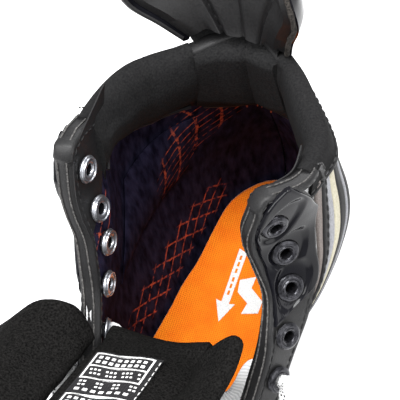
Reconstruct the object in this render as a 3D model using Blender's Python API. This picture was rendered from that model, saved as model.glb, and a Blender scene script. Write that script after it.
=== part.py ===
"""Right ice-hockey skate for a child's foot of 195 mm, opened for the foot to go in.

The toe points to -Y, the inner (medial) side of the foot to +X, up is +Z. The skate stands on its runner at z = 0.
Sizes below are in millimetres; objects are in metres.
"""
import math

import bmesh
import bpy
import numpy as np
from mathutils import Matrix, Vector

MM = 0.001
GAP = 0.3
LATERAL = -1
MEDIAL = 1
SIDES = ((LATERAL, "lateral"), (MEDIAL, "medial"))

# ---------------------------------------------------------------- driving dimensions
SHELL_THICK = 1.7
LINER_THICK = 1.1
LAYER_GAP = 0.4
LINING_GAP = 1.5
FACING_GAP = 0.65
LINER_OUTER = -(SHELL_THICK + LINING_GAP)
LINER_INNER = LINER_OUTER - LINER_THICK
ANKLE_PAD_OUTER = LINER_INNER - 1.0
TOE_JOINT_Y = -66.0
TOE_LENGTH = 52.0
TOE_HALF_WIDTH = 39.0
TOE_HEIGHT = 48.0
SOLE_FRONT_Z = 57.0
SOLE_SLOPE = 0.03
OUTSOLE_THICK = 2.6
BOARD_THICK = 1.8
FOOTBED_FRONT_THICK = 5.0
FOOTBED_HEEL_THICK = 6.4
EYELET_DEPTH = 0.8
EYELET_FLANGE_R = 4.4
EYELET_BARREL_R = 2.5
EYELET_HOLE_R = 1.9
FACING_THICK = 0.9
LACE_R = 1.3
RUNNER_THICK = 3.0
RUNNER_HALF_LENGTH = 110.0
HOLDER_RAIL_BOTTOM_Z = 13.0
TONGUE_HINGE = (0.0, -13.0, 135.0)
GUARD_HINGE = (-1.5, 93.2, 178.4)
ORIGIN_SHIFT = (-1.4, 2.24, 0.0)

# Rows of the boot's outer surface, from the sole up. Columns: height, heel's back y, then half-widths
# (lateral, medial) at the heel corner, behind the ankle, the ankle, the waist and the instep, then the
# front edge's x and y
# on each side.
LEVELS = (
    (56, 108.0, 18.5, 18.5, 26.5, 26.5, 31.0, 31.0, 37.0, 35.5, 39.5, 40.5, 36.0, -66.0, 36.5, -66.0),
    (72, 111.6, 20.5, 20.5, 28.6, 28.6, 33.4, 33.4, 39.5, 38.5, 43.0, 44.0, 38.8, -66.0, 39.0, -66.0),
    (86, 112.3, 21.0, 21.0, 30.0, 30.6, 35.6, 37.0, 40.2, 40.2, 42.6, 43.6, 36.6, -66.0, 37.0, -66.0),
    (98, 111.0, 21.0, 21.0, 31.2, 32.6, 37.2, 40.0, 39.8, 41.0, 40.0, 41.0, 29.0, -66.0, 29.6, -66.0),
    (104.5, 109.3, 20.8, 20.8, 31.8, 33.4, 38.0, 41.5, 39.3, 41.0, 37.6, 38.6, 17.5, -65.5, 18.5, -65.7),
    (111, 107.3, 20.6, 20.6, 32.2, 34.0, 38.6, 43.0, 38.8, 41.4, 36.0, 37.4, 21.0, -51.5, 22.0, -52.5),
    (118, 105.0, 20.4, 20.4, 32.6, 34.4, 39.2, 44.0, 38.5, 42.0, 35.0, 37.4, 24.2, -39.2, 24.5, -41.0),
    (126, 102.6, 20.2, 20.0, 33.2, 34.6, 39.8, 44.8, 38.3, 42.8, 34.6, 38.0, 27.2, -27.2, 27.2, -29.1),
    (134, 100.4, 20.0, 19.6, 33.8, 34.4, 40.4, 45.2, 38.2, 43.4, 34.0, 39.0, 29.4, -15.8, 29.2, -18.2),
    (143, 98.2, 19.8, 19.2, 34.4, 33.8, 40.8, 45.3, 38.2, 44.2, 33.2, 40.6, 31.3, -5.0, 30.7, -7.9),
    (154, 96.0, 19.6, 18.7, 34.8, 32.4, 40.8, 44.6, 38.4, 44.4, 33.0, 40.4, 32.8, 1.6, 29.0, 3.1),
    (163, 94.8, 19.5, 18.3, 34.8, 30.6, 40.2, 43.2, 38.4, 42.6, 33.6, 38.0, 34.1, 6.0, 25.0, 6.9),
    (171, 93.7, 19.4, 17.9, 34.4, 29.0, 39.4, 40.8, 38.2, 40.2, 35.0, 36.0, 36.0, 8.2, 23.1, 8.4),
    (178, 93.0, 19.3, 17.6, 33.8, 27.6, 38.6, 38.8, 38.0, 38.8, 36.2, 36.0, 37.2, 10.4, 24.1, 9.2),
    (186, 92.6, 19.3, 17.5, 33.2, 27.0, 37.9, 37.0, 37.8, 38.0, 37.0, 36.8, 37.6, 13.0, 26.2, 11.0),
    (198, 92.5, 19.3, 17.5, 32.8, 26.6, 37.2, 35.0, 37.4, 37.0, 37.6, 37.4, 37.4, 16.3, 27.3, 14.2),
)
REAR_SHARE = 0.60
ANKLE_Y = 45.0
HEEL_CORNER_BACK = 14.0

# Top line of the collar, from the facing's corner to the back: (y, z)
RIM = {
    LATERAL: ((16.0, 195.6), (24.0, 194.3), (33.0, 190.0), (48.0, 185.0), (59.0, 181.5), (68.0, 178.8),
              (76.0, 177.0)),
    MEDIAL: ((13.0, 191.8), (25.0, 189.0), (34.5, 186.0), (45.0, 183.0), (58.0, 180.0), (69.0, 178.0),
             (79.0, 177.0)),
}
# Lower line of the collar pads and the achilles pad: (y, z)
PAD_LINE = {
    LATERAL: ((20.0, 166.0), (33.0, 170.0), (50.0, 160.0), (66.0, 151.0), (80.0, 149.0), (90.0, 141.0),
              (98.0, 138.0)),
    MEDIAL: ((20.0, 164.0), (33.0, 166.0), (50.0, 158.0), (66.0, 151.0), (80.0, 149.0), (90.0, 141.0),
             (98.0, 138.0)),
}
# Stretch of the contour that each collar pad covers
PAD_SPAN = {LATERAL: (0.17, 0.79), MEDIAL: (0.20, 0.79)}
# Eyelets from the top one down: (height, distance along the contour from the facing's edge)
EYELETS = {
    LATERAL: ((183.0, 6.2), (167.0, 7.5), (155.0, 8.4), (143.5, 6.2), (132.0, 9.0), (123.4, 11.2),
              (116.6, 12.8), (111.2, 13.5)),
    MEDIAL: ((179.5, 6.1), (165.5, 9.4), (154.0, 6.8), (142.5, 7.0), (131.5, 10.1), (122.8, 12.3),
             (116.2, 13.5), (111.0, 13.5)),
}
FACING_WIDTHS = ((108.0, 20.5), (120.0, 18.8), (132.0, 16.8), (142.0, 14.5), (200.0, 14.5))

# Moulded patch round the upper eyelets: height, nearest and farthest distance from the facing's edge
PATCH_EDGES = ((149.0, 1.0, 5.0), (151.5, 1.0, 12.5), (156.0, 1.0, 16.5), (170.0, 1.0, 19.0),
               (180.0, 0.6, 19.5), (186.0, 2.5, 18.0), (192.0, 7.0, 12.0))

# Free lace ends: from the fifth eyelet outwards, down the side of the boot to the hank on the floor
LACE_ROUTE = {
    LATERAL: ((41.5, -18.0, 137.0), (47.0, -20.5, 133.0), (49.5, -21.5, 120.0), (50.5, -22.0, 95.0),
              (50.5, -22.5, 60.0), (49.5, -24.0, 30.0), (46.5, -28.0, 13.0), (42.0, -36.0, 6.0),
              (38.0, -46.0, 3.6), (35.5, -53.0, 3.4)),
    MEDIAL: ((41.0, -20.5, 137.0), (46.5, -23.5, 133.0), (49.8, -25.0, 120.0), (51.0, -25.5, 95.0),
             (51.0, -26.0, 60.0), (50.0, -27.0, 30.0), (46.5, -31.0, 13.0), (42.0, -38.5, 6.0),
             (38.0, -47.0, 3.6), (35.5, -53.0, 3.4)),
}
LACE_END_R = 2.2
HANK_CENTRE_X = 35.0
HANK_CENTRE_Y = -112.0
HANK_LENGTH = 110.0
AGLET_X = 14.0
AGLET_Y = -101.0
AGLET_Z = 1.7
HANK_WIDTH = 34.0
HANK_HEIGHT = 10.0

COLOURS = {
    "matte_black": ((0.018, 0.018, 0.020, 1), 0.55, 0.0),
    "gloss_black": ((0.012, 0.012, 0.016, 1), 0.12, 0.0),
    "white_shell": ((0.80, 0.80, 0.79, 1), 0.45, 0.0),
    "navy_liner": ((0.020, 0.016, 0.035, 1), 0.9, 0.0),
    "orange_cloth": ((0.90, 0.20, 0.01, 1), 0.85, 0.0),
    "black_pad": ((0.022, 0.022, 0.024, 1), 0.6, 0.0),
    "black_felt": ((0.025, 0.025, 0.027, 1), 0.95, 0.0),
    "foam": ((0.10, 0.10, 0.11, 1), 0.95, 0.0),
    "board": ((0.06, 0.055, 0.05, 1), 0.8, 0.0),
    "steel": ((0.55, 0.55, 0.56, 1), 0.3, 1.0),
    "black_steel": ((0.03, 0.03, 0.03, 1), 0.35, 1.0),
    "lace": ((0.82, 0.82, 0.80, 1), 0.9, 0.0),
}


# ---------------------------------------------------------------- objects and materials
def clear_scene():
    for item in list(bpy.data.objects):
        bpy.data.objects.remove(item, do_unlink=True)


def material(name, finish):
    colour, roughness, metallic = COLOURS[finish]
    made = bpy.data.materials.new(name)
    made.use_nodes = True
    shader = made.node_tree.nodes["Principled BSDF"]
    shader.inputs["Base Color"].default_value = colour
    shader.inputs["Roughness"].default_value = roughness
    shader.inputs["Metallic"].default_value = metallic
    made.diffuse_color = colour
    return made


def solid(name, points, faces, finish, origin=(0.0, 0.0, 0.0), smooth_angle=40):
    """One object from points in millimetres, its origin at the given place, its faces turned outwards."""
    mesh = bpy.data.meshes.new(name)
    local = (np.asarray(points, float) - np.asarray(origin)) * MM
    mesh.from_pydata([tuple(point) for point in local], [], faces)
    shape = bmesh.new()
    shape.from_mesh(mesh)
    bmesh.ops.recalc_face_normals(shape, faces=shape.faces)
    shape.to_mesh(mesh)
    shape.free()
    mesh.shade_smooth()
    mesh.set_sharp_from_angle(angle=math.radians(smooth_angle))
    made = bpy.data.objects.new(name, mesh)
    made.location = Vector(origin) * MM
    bpy.context.scene.collection.objects.link(made)
    mesh.materials.append(material(name, finish))
    return made


def hide_cutter(cutter):
    cutter.hide_render = True
    cutter.display_type = "WIRE"


def cut(target, cutter, operation="DIFFERENCE"):
    modifier = target.modifiers.new(cutter.name, "BOOLEAN")
    modifier.operation = operation
    modifier.solver = "EXACT"
    modifier.object = cutter


# ---------------------------------------------------------------- curves
def hermite(knots, values, at):
    """Smooth curve through values at rising knots; at may be one place or many, values one column or many."""
    knots = np.asarray(knots, float)
    values = np.asarray(values, float)
    slopes = np.gradient(values, knots, axis=0)
    at = np.clip(np.asarray(at, float), knots[0], knots[-1])
    i = np.minimum(np.searchsorted(knots, at, side="right") - 1, len(knots) - 2)
    h = knots[i + 1] - knots[i]
    t = (at - knots[i]) / h
    if values.ndim > 1 and at.ndim:
        h = h[:, None]
        t = t[:, None]
    return (
        (2 * t**3 - 3 * t**2 + 1) * values[i]
        + (t**3 - 2 * t**2 + t) * h * slopes[i]
        + (3 * t**2 - 2 * t**3) * values[i + 1]
        + (t**3 - t**2) * h * slopes[i + 1]
    )


def smooth_path(points, count):
    """Evenly spaced points along a smooth curve through the given ones."""
    points = np.asarray(points, float)
    steps = np.linalg.norm(np.diff(points, axis=0), axis=1)
    knots = np.concatenate([[0], np.cumsum(np.sqrt(steps))])
    fine = hermite(knots, points, np.linspace(0, knots[-1], 12 * len(points)))
    length = np.concatenate([[0], np.cumsum(np.linalg.norm(np.diff(fine, axis=0), axis=1))])
    wanted = np.linspace(0, length[-1], count)
    return np.stack([np.interp(wanted, length, fine[:, axis]) for axis in range(3)], axis=1)


LEVEL_Z = [row[0] for row in LEVELS]
LEVEL_VALUES = [row[1:] for row in LEVELS]
CONTOURS = {}


def sole_z(y):
    return SOLE_FRONT_Z + SOLE_SLOPE * (y - TOE_JOINT_Y)


def contour(side, z):
    """Outer surface at one height: points from the front edge to the middle of the heel, and their distances."""
    key = (side, round(float(z), 3))
    if key in CONTOURS:
        return CONTOURS[key]
    row = hermite(LEVEL_Z, LEVEL_VALUES, z)
    back = row[0]
    pick = 0 if side == LATERAL else 1
    heel, rear, ankle, waist, instep = (row[1 + 2 * i + pick] for i in range(5))
    edge_x, edge_y = row[11 + 2 * pick], row[12 + 2 * pick]
    outline = [
        (edge_x, edge_y),
        (instep, edge_y + 0.35 * (ANKLE_Y - edge_y)),
        (waist, edge_y + 0.70 * (ANKLE_Y - edge_y)),
        (ankle, ANKLE_Y),
        (rear, ANKLE_Y + REAR_SHARE * (back - HEEL_CORNER_BACK - ANKLE_Y)),
        (heel, back - HEEL_CORNER_BACK),
        (0.0, back),
        (-heel, back - HEEL_CORNER_BACK),
    ]
    outline = np.asarray(outline)
    knots = np.concatenate([[0], np.cumsum(np.linalg.norm(np.diff(outline, axis=0), axis=1) ** 0.6)])
    fine = hermite(knots, outline, np.linspace(0, knots[-2], 90))
    fine[:, 0] *= side
    distance = np.concatenate([[0], np.cumsum(np.linalg.norm(np.diff(fine, axis=0), axis=1))])
    CONTOURS[key] = (fine, distance)
    return CONTOURS[key]


def skin_point(side, z, distance=None, part=None):
    fine, along = contour(side, z)
    wanted = along[-1] * part if distance is None else distance
    if wanted < 0:
        direction = (fine[1] - fine[0]) / (along[1] - along[0])
        x, y = fine[0] + direction * wanted
    else:
        x = np.interp(wanted, along, fine[:, 0])
        y = np.interp(wanted, along, fine[:, 1])
    return np.array([x, y, z])


def skin_normal(side, z, distance=None, part=None):
    def shifted(dz, step):
        if distance is None:
            return skin_point(side, z + dz, part=float(np.clip(part + step / 150.0, 0, 1)))
        return skin_point(side, z + dz, distance=distance + step)

    along = shifted(0, 1.5) - shifted(0, -1.5)
    upward = shifted(1.5, 0) - shifted(-1.5, 0)
    normal = np.cross(along, upward) * side
    if part is not None and part > 0.995:
        normal[0] = 0.0
    return normal / np.linalg.norm(normal)


def skin(side, z, depth, distance=None, part=None):
    """A point of the boot's wall, depth millimetres out of (or, below 0, into) its outer surface."""
    return skin_point(side, z, distance, part) + depth * skin_normal(side, z, distance, part)


def line_z(line, y):
    ys = [point[0] for point in line]
    zs = [point[1] for point in line]
    return float(np.interp(y, ys, zs))


def height_on(side, part, line, start=178.0):
    """Where the wall's column at this part of its contour meets a line given as (y, z) points."""
    z = start
    for _ in range(8):
        z = line_z(line, skin_point(side, z, part=part)[1])
    return z


# ---------------------------------------------------------------- solids by rule
def slab(name, place, across, up, outer, inner, finish, origin=(0.0, 0.0, 0.0)):
    """A closed sheet: place(u, v, depth) gives its points, outer and inner its two depths."""
    us = np.linspace(0, 1, across + 1)
    vs = np.linspace(0, 1, up + 1)
    depth_of = [value if callable(value) else (lambda u, v, fixed=value: fixed) for value in (outer, inner)]
    points = []
    for depth in depth_of:
        points += [place(u, v, depth(u, v)) for v in vs for u in us]
    row = across + 1
    layer = row * (up + 1)
    faces = []
    for j in range(up):
        for i in range(across):
            a = j * row + i
            faces.append((a, a + 1, a + row + 1, a + row))
            faces.append((a + layer, a + row + layer, a + row + 1 + layer, a + 1 + layer))
    border = [i for i in range(row)]
    border += [j * row + across for j in range(1, up + 1)]
    border += [up * row + i for i in range(across - 1, -1, -1)]
    border += [j * row for j in range(up - 1, 0, -1)]
    for start, end in zip(border, border[1:] + border[:1]):
        faces.append((start, start + layer, end + layer, end))
    return solid(name, points, faces, finish, origin)


def prism(name, outline, lower, upper, finish, origin=(0.0, 0.0, 0.0), rim=0.0):
    """A plate with a plan outline; lower(x, y) and upper(x, y) give its faces, rim the rounding of its top edge."""
    outline = np.asarray(outline, float)
    centre = outline.mean(axis=0)
    rings = [[(x, y, lower(x, y)) for x, y in outline]]
    if rim:
        rings.append([(x, y, upper(x, y) - rim) for x, y in outline])
        inset = outline + (centre - outline) / np.linalg.norm(centre - outline, axis=1)[:, None] * rim
        rings.append([(x, y, upper(x, y)) for x, y in inset])
    else:
        rings.append([(x, y, upper(x, y)) for x, y in outline])
    count = len(outline)
    points = [point for ring in rings for point in ring]
    faces = [tuple(range(count - 1, -1, -1))]
    for k in range(len(rings) - 1):
        for i in range(count):
            j = (i + 1) % count
            faces.append((k * count + i, k * count + j, (k + 1) * count + j, (k + 1) * count + i))
    faces.append(tuple(range((len(rings) - 1) * count, len(rings) * count)))
    return solid(name, points, faces, finish, origin)


def turned(name, profile, sides, finish, place, axis, closed_ring=False):
    """A body of revolution: profile points are (radius, along), set at place with its axis along axis."""
    turn = Vector(axis).normalized().to_track_quat("Z", "Y").to_matrix()
    points, faces = [], []
    for k in range(sides):
        angle = 2 * math.pi * k / sides
        for radius, along in profile:
            local = Vector((radius * math.cos(angle), radius * math.sin(angle), along))
            points.append(tuple(turn @ local + Vector(place)))
    count = len(profile)
    last = count if closed_ring else count - 1
    for k in range(sides):
        following = (k + 1) % sides
        for i in range(last):
            j = (i + 1) % count
            faces.append((k * count + i, following * count + i, following * count + j, k * count + j))
    if not closed_ring:
        faces.append(tuple(k * count for k in range(sides)))
        faces.append(tuple(k * count + count - 1 for k in reversed(range(sides))))
    return solid(name, points, faces, finish)


def rods(name, places, radius, reach, sides=10):
    """One cutter of several cylinders: places are (centre, axis) pairs."""
    points, faces = [], []
    for centre, axis in places:
        turn = Vector(axis).normalized().to_track_quat("Z", "Y").to_matrix()
        base = len(points)
        for along in (-reach, reach):
            for k in range(sides):
                angle = 2 * math.pi * (k + 0.5) / sides
                local = Vector((radius * math.cos(angle), radius * math.sin(angle), along))
                points.append(tuple(turn @ local + Vector(centre)))
        for k in range(sides):
            following = (k + 1) % sides
            faces.append((base + k, base + following, base + sides + following, base + sides + k))
        faces.append(tuple(base + k for k in reversed(range(sides))))
        faces.append(tuple(base + sides + k for k in range(sides)))
    cutter = solid(name, points, faces, "steel")
    hide_cutter(cutter)
    return cutter


def tube(name, points, radius, finish, resolution=2):
    curve = bpy.data.curves.new(name, "CURVE")
    curve.dimensions = "3D"
    curve.bevel_depth = radius * MM
    curve.bevel_resolution = resolution
    curve.use_fill_caps = True
    spline = curve.splines.new("POLY")
    spline.points.add(len(points) - 1)
    for slot, point in zip(spline.points, points):
        slot.co = (*(Vector(point) * MM), 1.0)
    curve.materials.append(material(name, finish))
    made = bpy.data.objects.new(name, curve)
    bpy.context.scene.collection.objects.link(made)
    return made


# ---------------------------------------------------------------- boot
def toe_arc(inset, count=13):
    """Plan outline of the toe at the sole, from lateral to medial."""
    outline = []
    for k in range(1, count):
        angle = math.pi * k / count
        c, s = math.cos(angle), math.sin(angle)
        x = -(TOE_HALF_WIDTH - 1.8 - inset) * math.copysign(abs(c) ** 0.8, c)
        y = TOE_JOINT_Y - (TOE_LENGTH - 1.0 - inset) * abs(s) ** 0.86
        outline.append((x, y))
    return outline


def sole_outline(inset, z=58.0, step=12):
    """Plan outline of the boot's wall near the sole, drawn in by inset."""
    outline = []
    for part in np.linspace(0.03, 1.0, step):
        outline.append(tuple(skin(LATERAL, z, -inset, part=part)[:2]))
    outline = outline[::-1]
    arc = toe_arc(inset)
    outline += arc
    for part in np.linspace(0.03, 0.97, step):
        outline.append(tuple(skin(MEDIAL, z, -inset, part=part)[:2]))
    return outline


def make_toe_cap():
    front = TOE_JOINT_Y - 0.8

    def place(u, v, depth):
        turn = math.pi * (1 - u)
        rise = 0.5 * math.pi * v
        power = 2 / 3.0
        c, s = math.cos(turn), math.sin(turn)
        level = math.sin(rise) ** power
        ring = max(math.cos(rise), 0.0) ** power
        half = TOE_HALF_WIDTH + depth
        reach = TOE_LENGTH + depth
        x = half * ring * math.copysign(abs(c) ** 0.8, c)
        y = front - reach * ring * abs(s) ** 0.86
        floor = sole_z(y) + GAP
        z = floor + (TOE_HEIGHT + depth) * level
        return np.array([x, y, z])

    us = np.linspace(0, 1, 19)
    vs = np.linspace(0, 0.985, 9)
    points, faces = [], []
    for depth in (0.0, -SHELL_THICK):
        points += [place(u, v, depth) for v in vs for u in us]
    row, layer = len(us), len(us) * len(vs)
    up = len(vs) - 1
    for j in range(up):
        for i in range(row - 1):
            a = j * row + i
            faces.append((a, a + 1, a + row + 1, a + row))
            faces.append((a + layer, a + row + layer, a + row + 1 + layer, a + 1 + layer))
    top = [up * row + i for i in range(row)]
    faces.append(tuple(top))
    faces.append(tuple(i + layer for i in reversed(top)))
    border = list(range(row))
    border += [j * row + row - 1 for j in range(1, up + 1)]
    border += [up * row]
    border += [j * row for j in range(up - 1, 0, -1)]
    for start, end in zip(border, border[1:] + border[:1]):
        faces.append((start, start + layer, end + layer, end))
    return solid("toe_cap", points, faces, "gloss_black")


def wall_place(side, low, high, first=0.0, last=1.0):
    """Places the wall between two heights; low and high are functions of the part of the contour."""
    def place(u, v, depth):
        part = first + (last - first) * u
        z = low(part) + (high(part) - low(part)) * v
        return skin(side, z, depth, part=part)

    return place


def sole_line(side, lift):
    def low(part):
        return sole_z(skin_point(side, 60.0, part=part)[1]) + lift

    return low


def hermite_line(side, line):
    columns = np.linspace(0, 1, 33)
    heights = [height_on(side, float(part), line) for part in columns]

    def at(part):
        return float(np.interp(part, columns, heights))

    return at


def wall_columns(side):
    """Parts of the contour where the quarter and its liner both have a column, so that they bend alike."""
    first = PAD_SPAN[side][0]
    return (0.0, 0.05, 0.10, first - 0.035, first - 0.008, 0.27, 0.36, 0.45, 0.54, 0.63, 0.72, 0.80, 0.87,
        0.94, 0.996)


def on_columns(side, place):
    """The same placing with its columns moved to the wall's."""
    columns = wall_columns(side)
    even = np.linspace(0, 1, len(columns))

    def moved(u, v, depth):
        return place(float(np.interp(u, even, columns)), v, depth)

    return moved


def make_quarter(side, name):
    place = wall_place(side, sole_line(side, GAP), hermite_line(side, RIM[side]))
    slab(f"{name}_quarter", on_columns(side, place), 14, 11, 0.0, -SHELL_THICK, "white_shell")


def make_linings(side, name):
    pad_low = hermite_line(side, PAD_LINE[side])
    rim = hermite_line(side, RIM[side])
    first, last = PAD_SPAN[side]

    def liner_top(part):
        return np.interp(part, (first - 0.035, first - 0.008), (rim(part) - 0.8, pad_low(part) - 0.8))

    place = wall_place(side, sole_line(side, BOARD_THICK + 2 * GAP), liner_top)
    slab(f"{name}_liner", on_columns(side, place), 14, 9, LINER_OUTER, LINER_INNER, "navy_liner")

    def pad_inner(u, v):
        swell = (math.sin(math.pi * v) ** 0.55) * (math.sin(math.pi * min(max(u, 0.0), 1.0)) ** 0.35)
        return LINER_OUTER - 1.2 - 5.6 * swell

    def pad_high(part):
        return rim(part) + 0.6

    place = wall_place(side, pad_low, pad_high, first, last)
    slab(f"{name}_collar_pad", place, 12, 5, LINER_OUTER, pad_inner, "black_pad")


def make_achilles_pad():
    low = {side: hermite_line(side, PAD_LINE[side]) for side, _ in SIDES}
    top = RIM[LATERAL][-1][1] - 0.2

    def place(u, v, depth):
        side = LATERAL if u < 0.5 else MEDIAL
        spread = abs(u - 0.5) * 2
        part = 1.0 - 0.19 * spread
        start = low[side](part)
        return skin(side, start + (top - start) * v, depth, part=part)

    def inner(u, v):
        swell = min(v / 0.3, 1.0) ** 0.5 * math.sin(math.pi * u) ** 0.4
        return LINER_OUTER - 1.5 - 7.6 * swell

    slab("achilles_pad", place, 12, 6, LINER_OUTER, inner, "black_pad")


def make_heel_counter():
    def place(u, v, depth):
        side = LATERAL if u < 0.5 else MEDIAL
        spread = abs(u - 0.5) * 2
        part = 1.0 - 0.33 * spread
        y = skin_point(side, 62.0, part=part)[1]
        low = sole_z(y) + GAP
        high = 128.0 - 52.0 * spread ** 1.6
        return skin(side, low + (high - low) * v, depth, part=part)

    slab("heel_counter", place, 14, 5, FACING_GAP + 1.5, FACING_GAP, "matte_black")


def eyelet_places(side):
    found = []
    for z, inset in EYELETS[side]:
        centre = skin(side, z, -EYELET_DEPTH, distance=inset)
        found.append((centre, skin_normal(side, z, distance=inset)))
    return found


def make_facings(side, name):
    top = RIM[side][0][1] - 1.5
    low = 108.0
    stations = np.concatenate([np.linspace(low, 132, 8), np.linspace(137, top, 8)])

    def place(u, v, depth):
        z = float(np.interp(v, np.linspace(0, 1, len(stations)), stations))
        return skin(side, z, depth, distance=0.2 + (line_z(FACING_WIDTHS, z) - 0.2) * u)

    slab(f"{name}_facing", place, 4, len(stations) - 1, FACING_GAP + FACING_THICK, FACING_GAP, "matte_black")

    heights = [row[0] for row in PATCH_EDGES]

    def patch_place(u, v, depth):
        z = heights[0] + (heights[-1] - heights[0]) * v
        near = np.interp(z, heights, [row[1] for row in PATCH_EDGES])
        far = np.interp(z, heights, [row[2] for row in PATCH_EDGES])
        return skin(side, z, depth, distance=near + (far - near) * u)

    under = FACING_GAP + FACING_THICK + LAYER_GAP
    slab(f"{name}_eyelet_patch", patch_place, 5, 10, under + 1.3, under, "gloss_black")


def make_eyelets(side, name):
    flange, barrel, hole = EYELET_FLANGE_R, EYELET_BARREL_R, EYELET_HOLE_R
    outer = EYELET_DEPTH + FACING_GAP + FACING_THICK + 0.5
    inner = EYELET_DEPTH + LINER_INNER - 0.8
    profile = [
        (hole, inner - 0.9),
        (flange - 0.6, inner - 0.9),
        (flange, inner),
        (barrel, inner),
        (barrel, outer),
        (flange, outer),
        (flange - 0.7, outer + 0.8),
        (hole, outer + 0.8),
    ]
    for number, (centre, axis) in enumerate(eyelet_places(side), 1):
        turned(f"{name}_eyelet_{number}", profile, 10, "black_steel", centre, axis, closed_ring=True)


def pierce(side, name):
    places = eyelet_places(side)
    narrow = rods(f"{name}_eyelet_holes", places, EYELET_BARREL_R + 0.35, 9.0)
    for part in ("quarter", "facing", "liner"):
        cut(bpy.data.objects[f"{name}_{part}"], narrow)
    wide = rods(f"{name}_patch_holes", places[:3], EYELET_FLANGE_R + 0.4, 9.0, sides=14)
    cut(bpy.data.objects[f"{name}_eyelet_patch"], wide)


def make_sole():
    outline = sole_outline(0.0)
    outsole = prism(
        "outsole", outline, lambda x, y: sole_z(y) - OUTSOLE_THICK, lambda x, y: sole_z(y), "matte_black")
    board = prism(
        "insole_board", sole_outline(SHELL_THICK + 1.0), lambda x, y: sole_z(y) + GAP,
        lambda x, y: sole_z(y) + GAP + BOARD_THICK, "board")

    def footbed_top(x, y):
        share = float(np.clip((y - TOE_JOINT_Y) / 150.0, 0, 1))
        thick = FOOTBED_FRONT_THICK + (FOOTBED_HEEL_THICK - FOOTBED_FRONT_THICK) * share
        return sole_z(y) + 2 * GAP + BOARD_THICK + thick

    prism(
        "footbed", sole_outline(-LINER_INNER + 0.7, 60.0), lambda x, y: sole_z(y) + 2 * GAP + BOARD_THICK,
        footbed_top, "orange_cloth", rim=1.2)
    return outsole, board


def make_ankle_pads(side, name):
    """Shaped foam lying on the liner's inner face, on each side of the ankle."""
    def place(u, v, depth):
        part = 0.42 + 0.34 * u
        z = 112.0 + 30.0 * v
        return skin(side, z, depth, part=part)

    def inner(u, v):
        return ANKLE_PAD_OUTER - 0.6 - 2.0 * (math.sin(math.pi * u) * math.sin(math.pi * v)) ** 0.6

    slab(f"{name}_ankle_pad", place, 7, 4, ANKLE_PAD_OUTER, inner, "foam")


# ---------------------------------------------------------------- tendon guard
GUARD_LEVELS = (
    # height, middle x, half-width, back y, edge y
    (178.2, -1.6, 18.6, 93.6, 79.6),
    (188.0, -3.8, 23.0, 96.0, 76.5),
    (198.0, -6.6, 29.0, 99.5, 74.0),
    (208.0, -9.0, 29.5, 103.5, 75.5),
    (217.0, -10.8, 25.0, 107.0, 84.0),
    (224.0, -12.0, 16.0, 110.0, 96.0),
)


GUARD_PAD_OUTER = 2.9


def guard_point(u, v, depth):
    knots = [row[0] for row in GUARD_LEVELS]
    z = knots[0] + (knots[-1] - knots[0]) * v

    def ring(height, turn):
        middle, half, back, edge = hermite(knots, [row[1:] for row in GUARD_LEVELS], height)
        angle = math.pi * (turn - 0.5)
        x = middle + half * math.copysign(abs(math.sin(angle)) ** 0.92, math.sin(angle))
        y = edge + (back - edge) * max(math.cos(angle), 0.0) ** 0.8
        return np.array([x, y, height])

    here = ring(z, u)
    along = ring(z, min(u + 0.02, 1.0)) - ring(z, max(u - 0.02, 0.0))
    upward = ring(min(z + 1, knots[-1]), u) - ring(max(z - 1, knots[0]), u)
    normal = np.cross(upward, along)
    normal /= np.linalg.norm(normal)
    return here + depth * normal


def make_tendon_guard():
    slab("tendon_guard", guard_point, 14, 8, 0.0, -2.2, "gloss_black", GUARD_HINGE)

    def place(u, v, depth):
        return guard_point(0.02 + 0.96 * u, 0.02 + 0.96 * v, depth)

    def inner(u, v):
        thick = 9.4 - 5.0 * v ** 0.7
        return -GUARD_PAD_OUTER - 1.0 - (thick - 1.0) * math.sin(math.pi * u) ** 0.4 * min((1 - v) / 0.2,
            1.0) ** 0.4

    slab("tendon_guard_pad", place, 12, 6, -GUARD_PAD_OUTER, inner, "black_pad", GUARD_HINGE)


# ---------------------------------------------------------------- tongue
TONGUE_RISE = math.radians(25.0)
TONGUE_DRIFT = math.radians(6.0)
TONGUE_LENGTH = 78.0
TONGUE_HALVES = {LATERAL: (16.6, 16.6, 16.6, 16.6, 23.0), MEDIAL: (23.0, 21.0, 16.8, 16.8, 22.0)}
TONGUE_MIDDLE = -6.0
TONGUE_THICK = 8.0
WING_THICK = 4.0
WING_WIDTH = 15.4
WING_REST = {LATERAL: 58.0, MEDIAL: 88.0}
WING_STATIONS = (7.0, 18.0, 38.0, 62.0)
WING_SEAMS = {LATERAL: (17.0, 17.0, 18.4, 20.9), MEDIAL: (26.4, 23.3, 18.0, 18.0)}


def tongue_frame():
    """Columns: across (+X), along the tongue away from its bend, and out of its inner face."""
    along = Vector((-math.sin(TONGUE_DRIFT) * math.cos(TONGUE_RISE),
                    -math.cos(TONGUE_DRIFT) * math.cos(TONGUE_RISE), math.sin(TONGUE_RISE)))
    across = Vector((math.cos(TONGUE_DRIFT), -math.sin(TONGUE_DRIFT), 0.0))
    face = along.cross(across) * -1.0
    if face.z < 0:
        face = -face
    return across, along, face


def tongue_point(across_mm, along_mm, face_mm):
    across, along, face = tongue_frame()
    start = Vector(TONGUE_HINGE) + Vector((TONGUE_MIDDLE, 0.0, 0.0))
    return np.array(start + across * across_mm + along * along_mm + face * face_mm)


def tongue_half(along_mm, side):
    """Half-width of the tongue's body: narrowest where it passes between the facings as it swings up."""
    return float(np.interp(along_mm, (9.0, 20.0, 38.0, 46.0, 78.0), TONGUE_HALVES[side]))


def wing_seam(along_mm, side):
    return float(np.interp(along_mm, WING_STATIONS, WING_SEAMS[side]))


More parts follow.
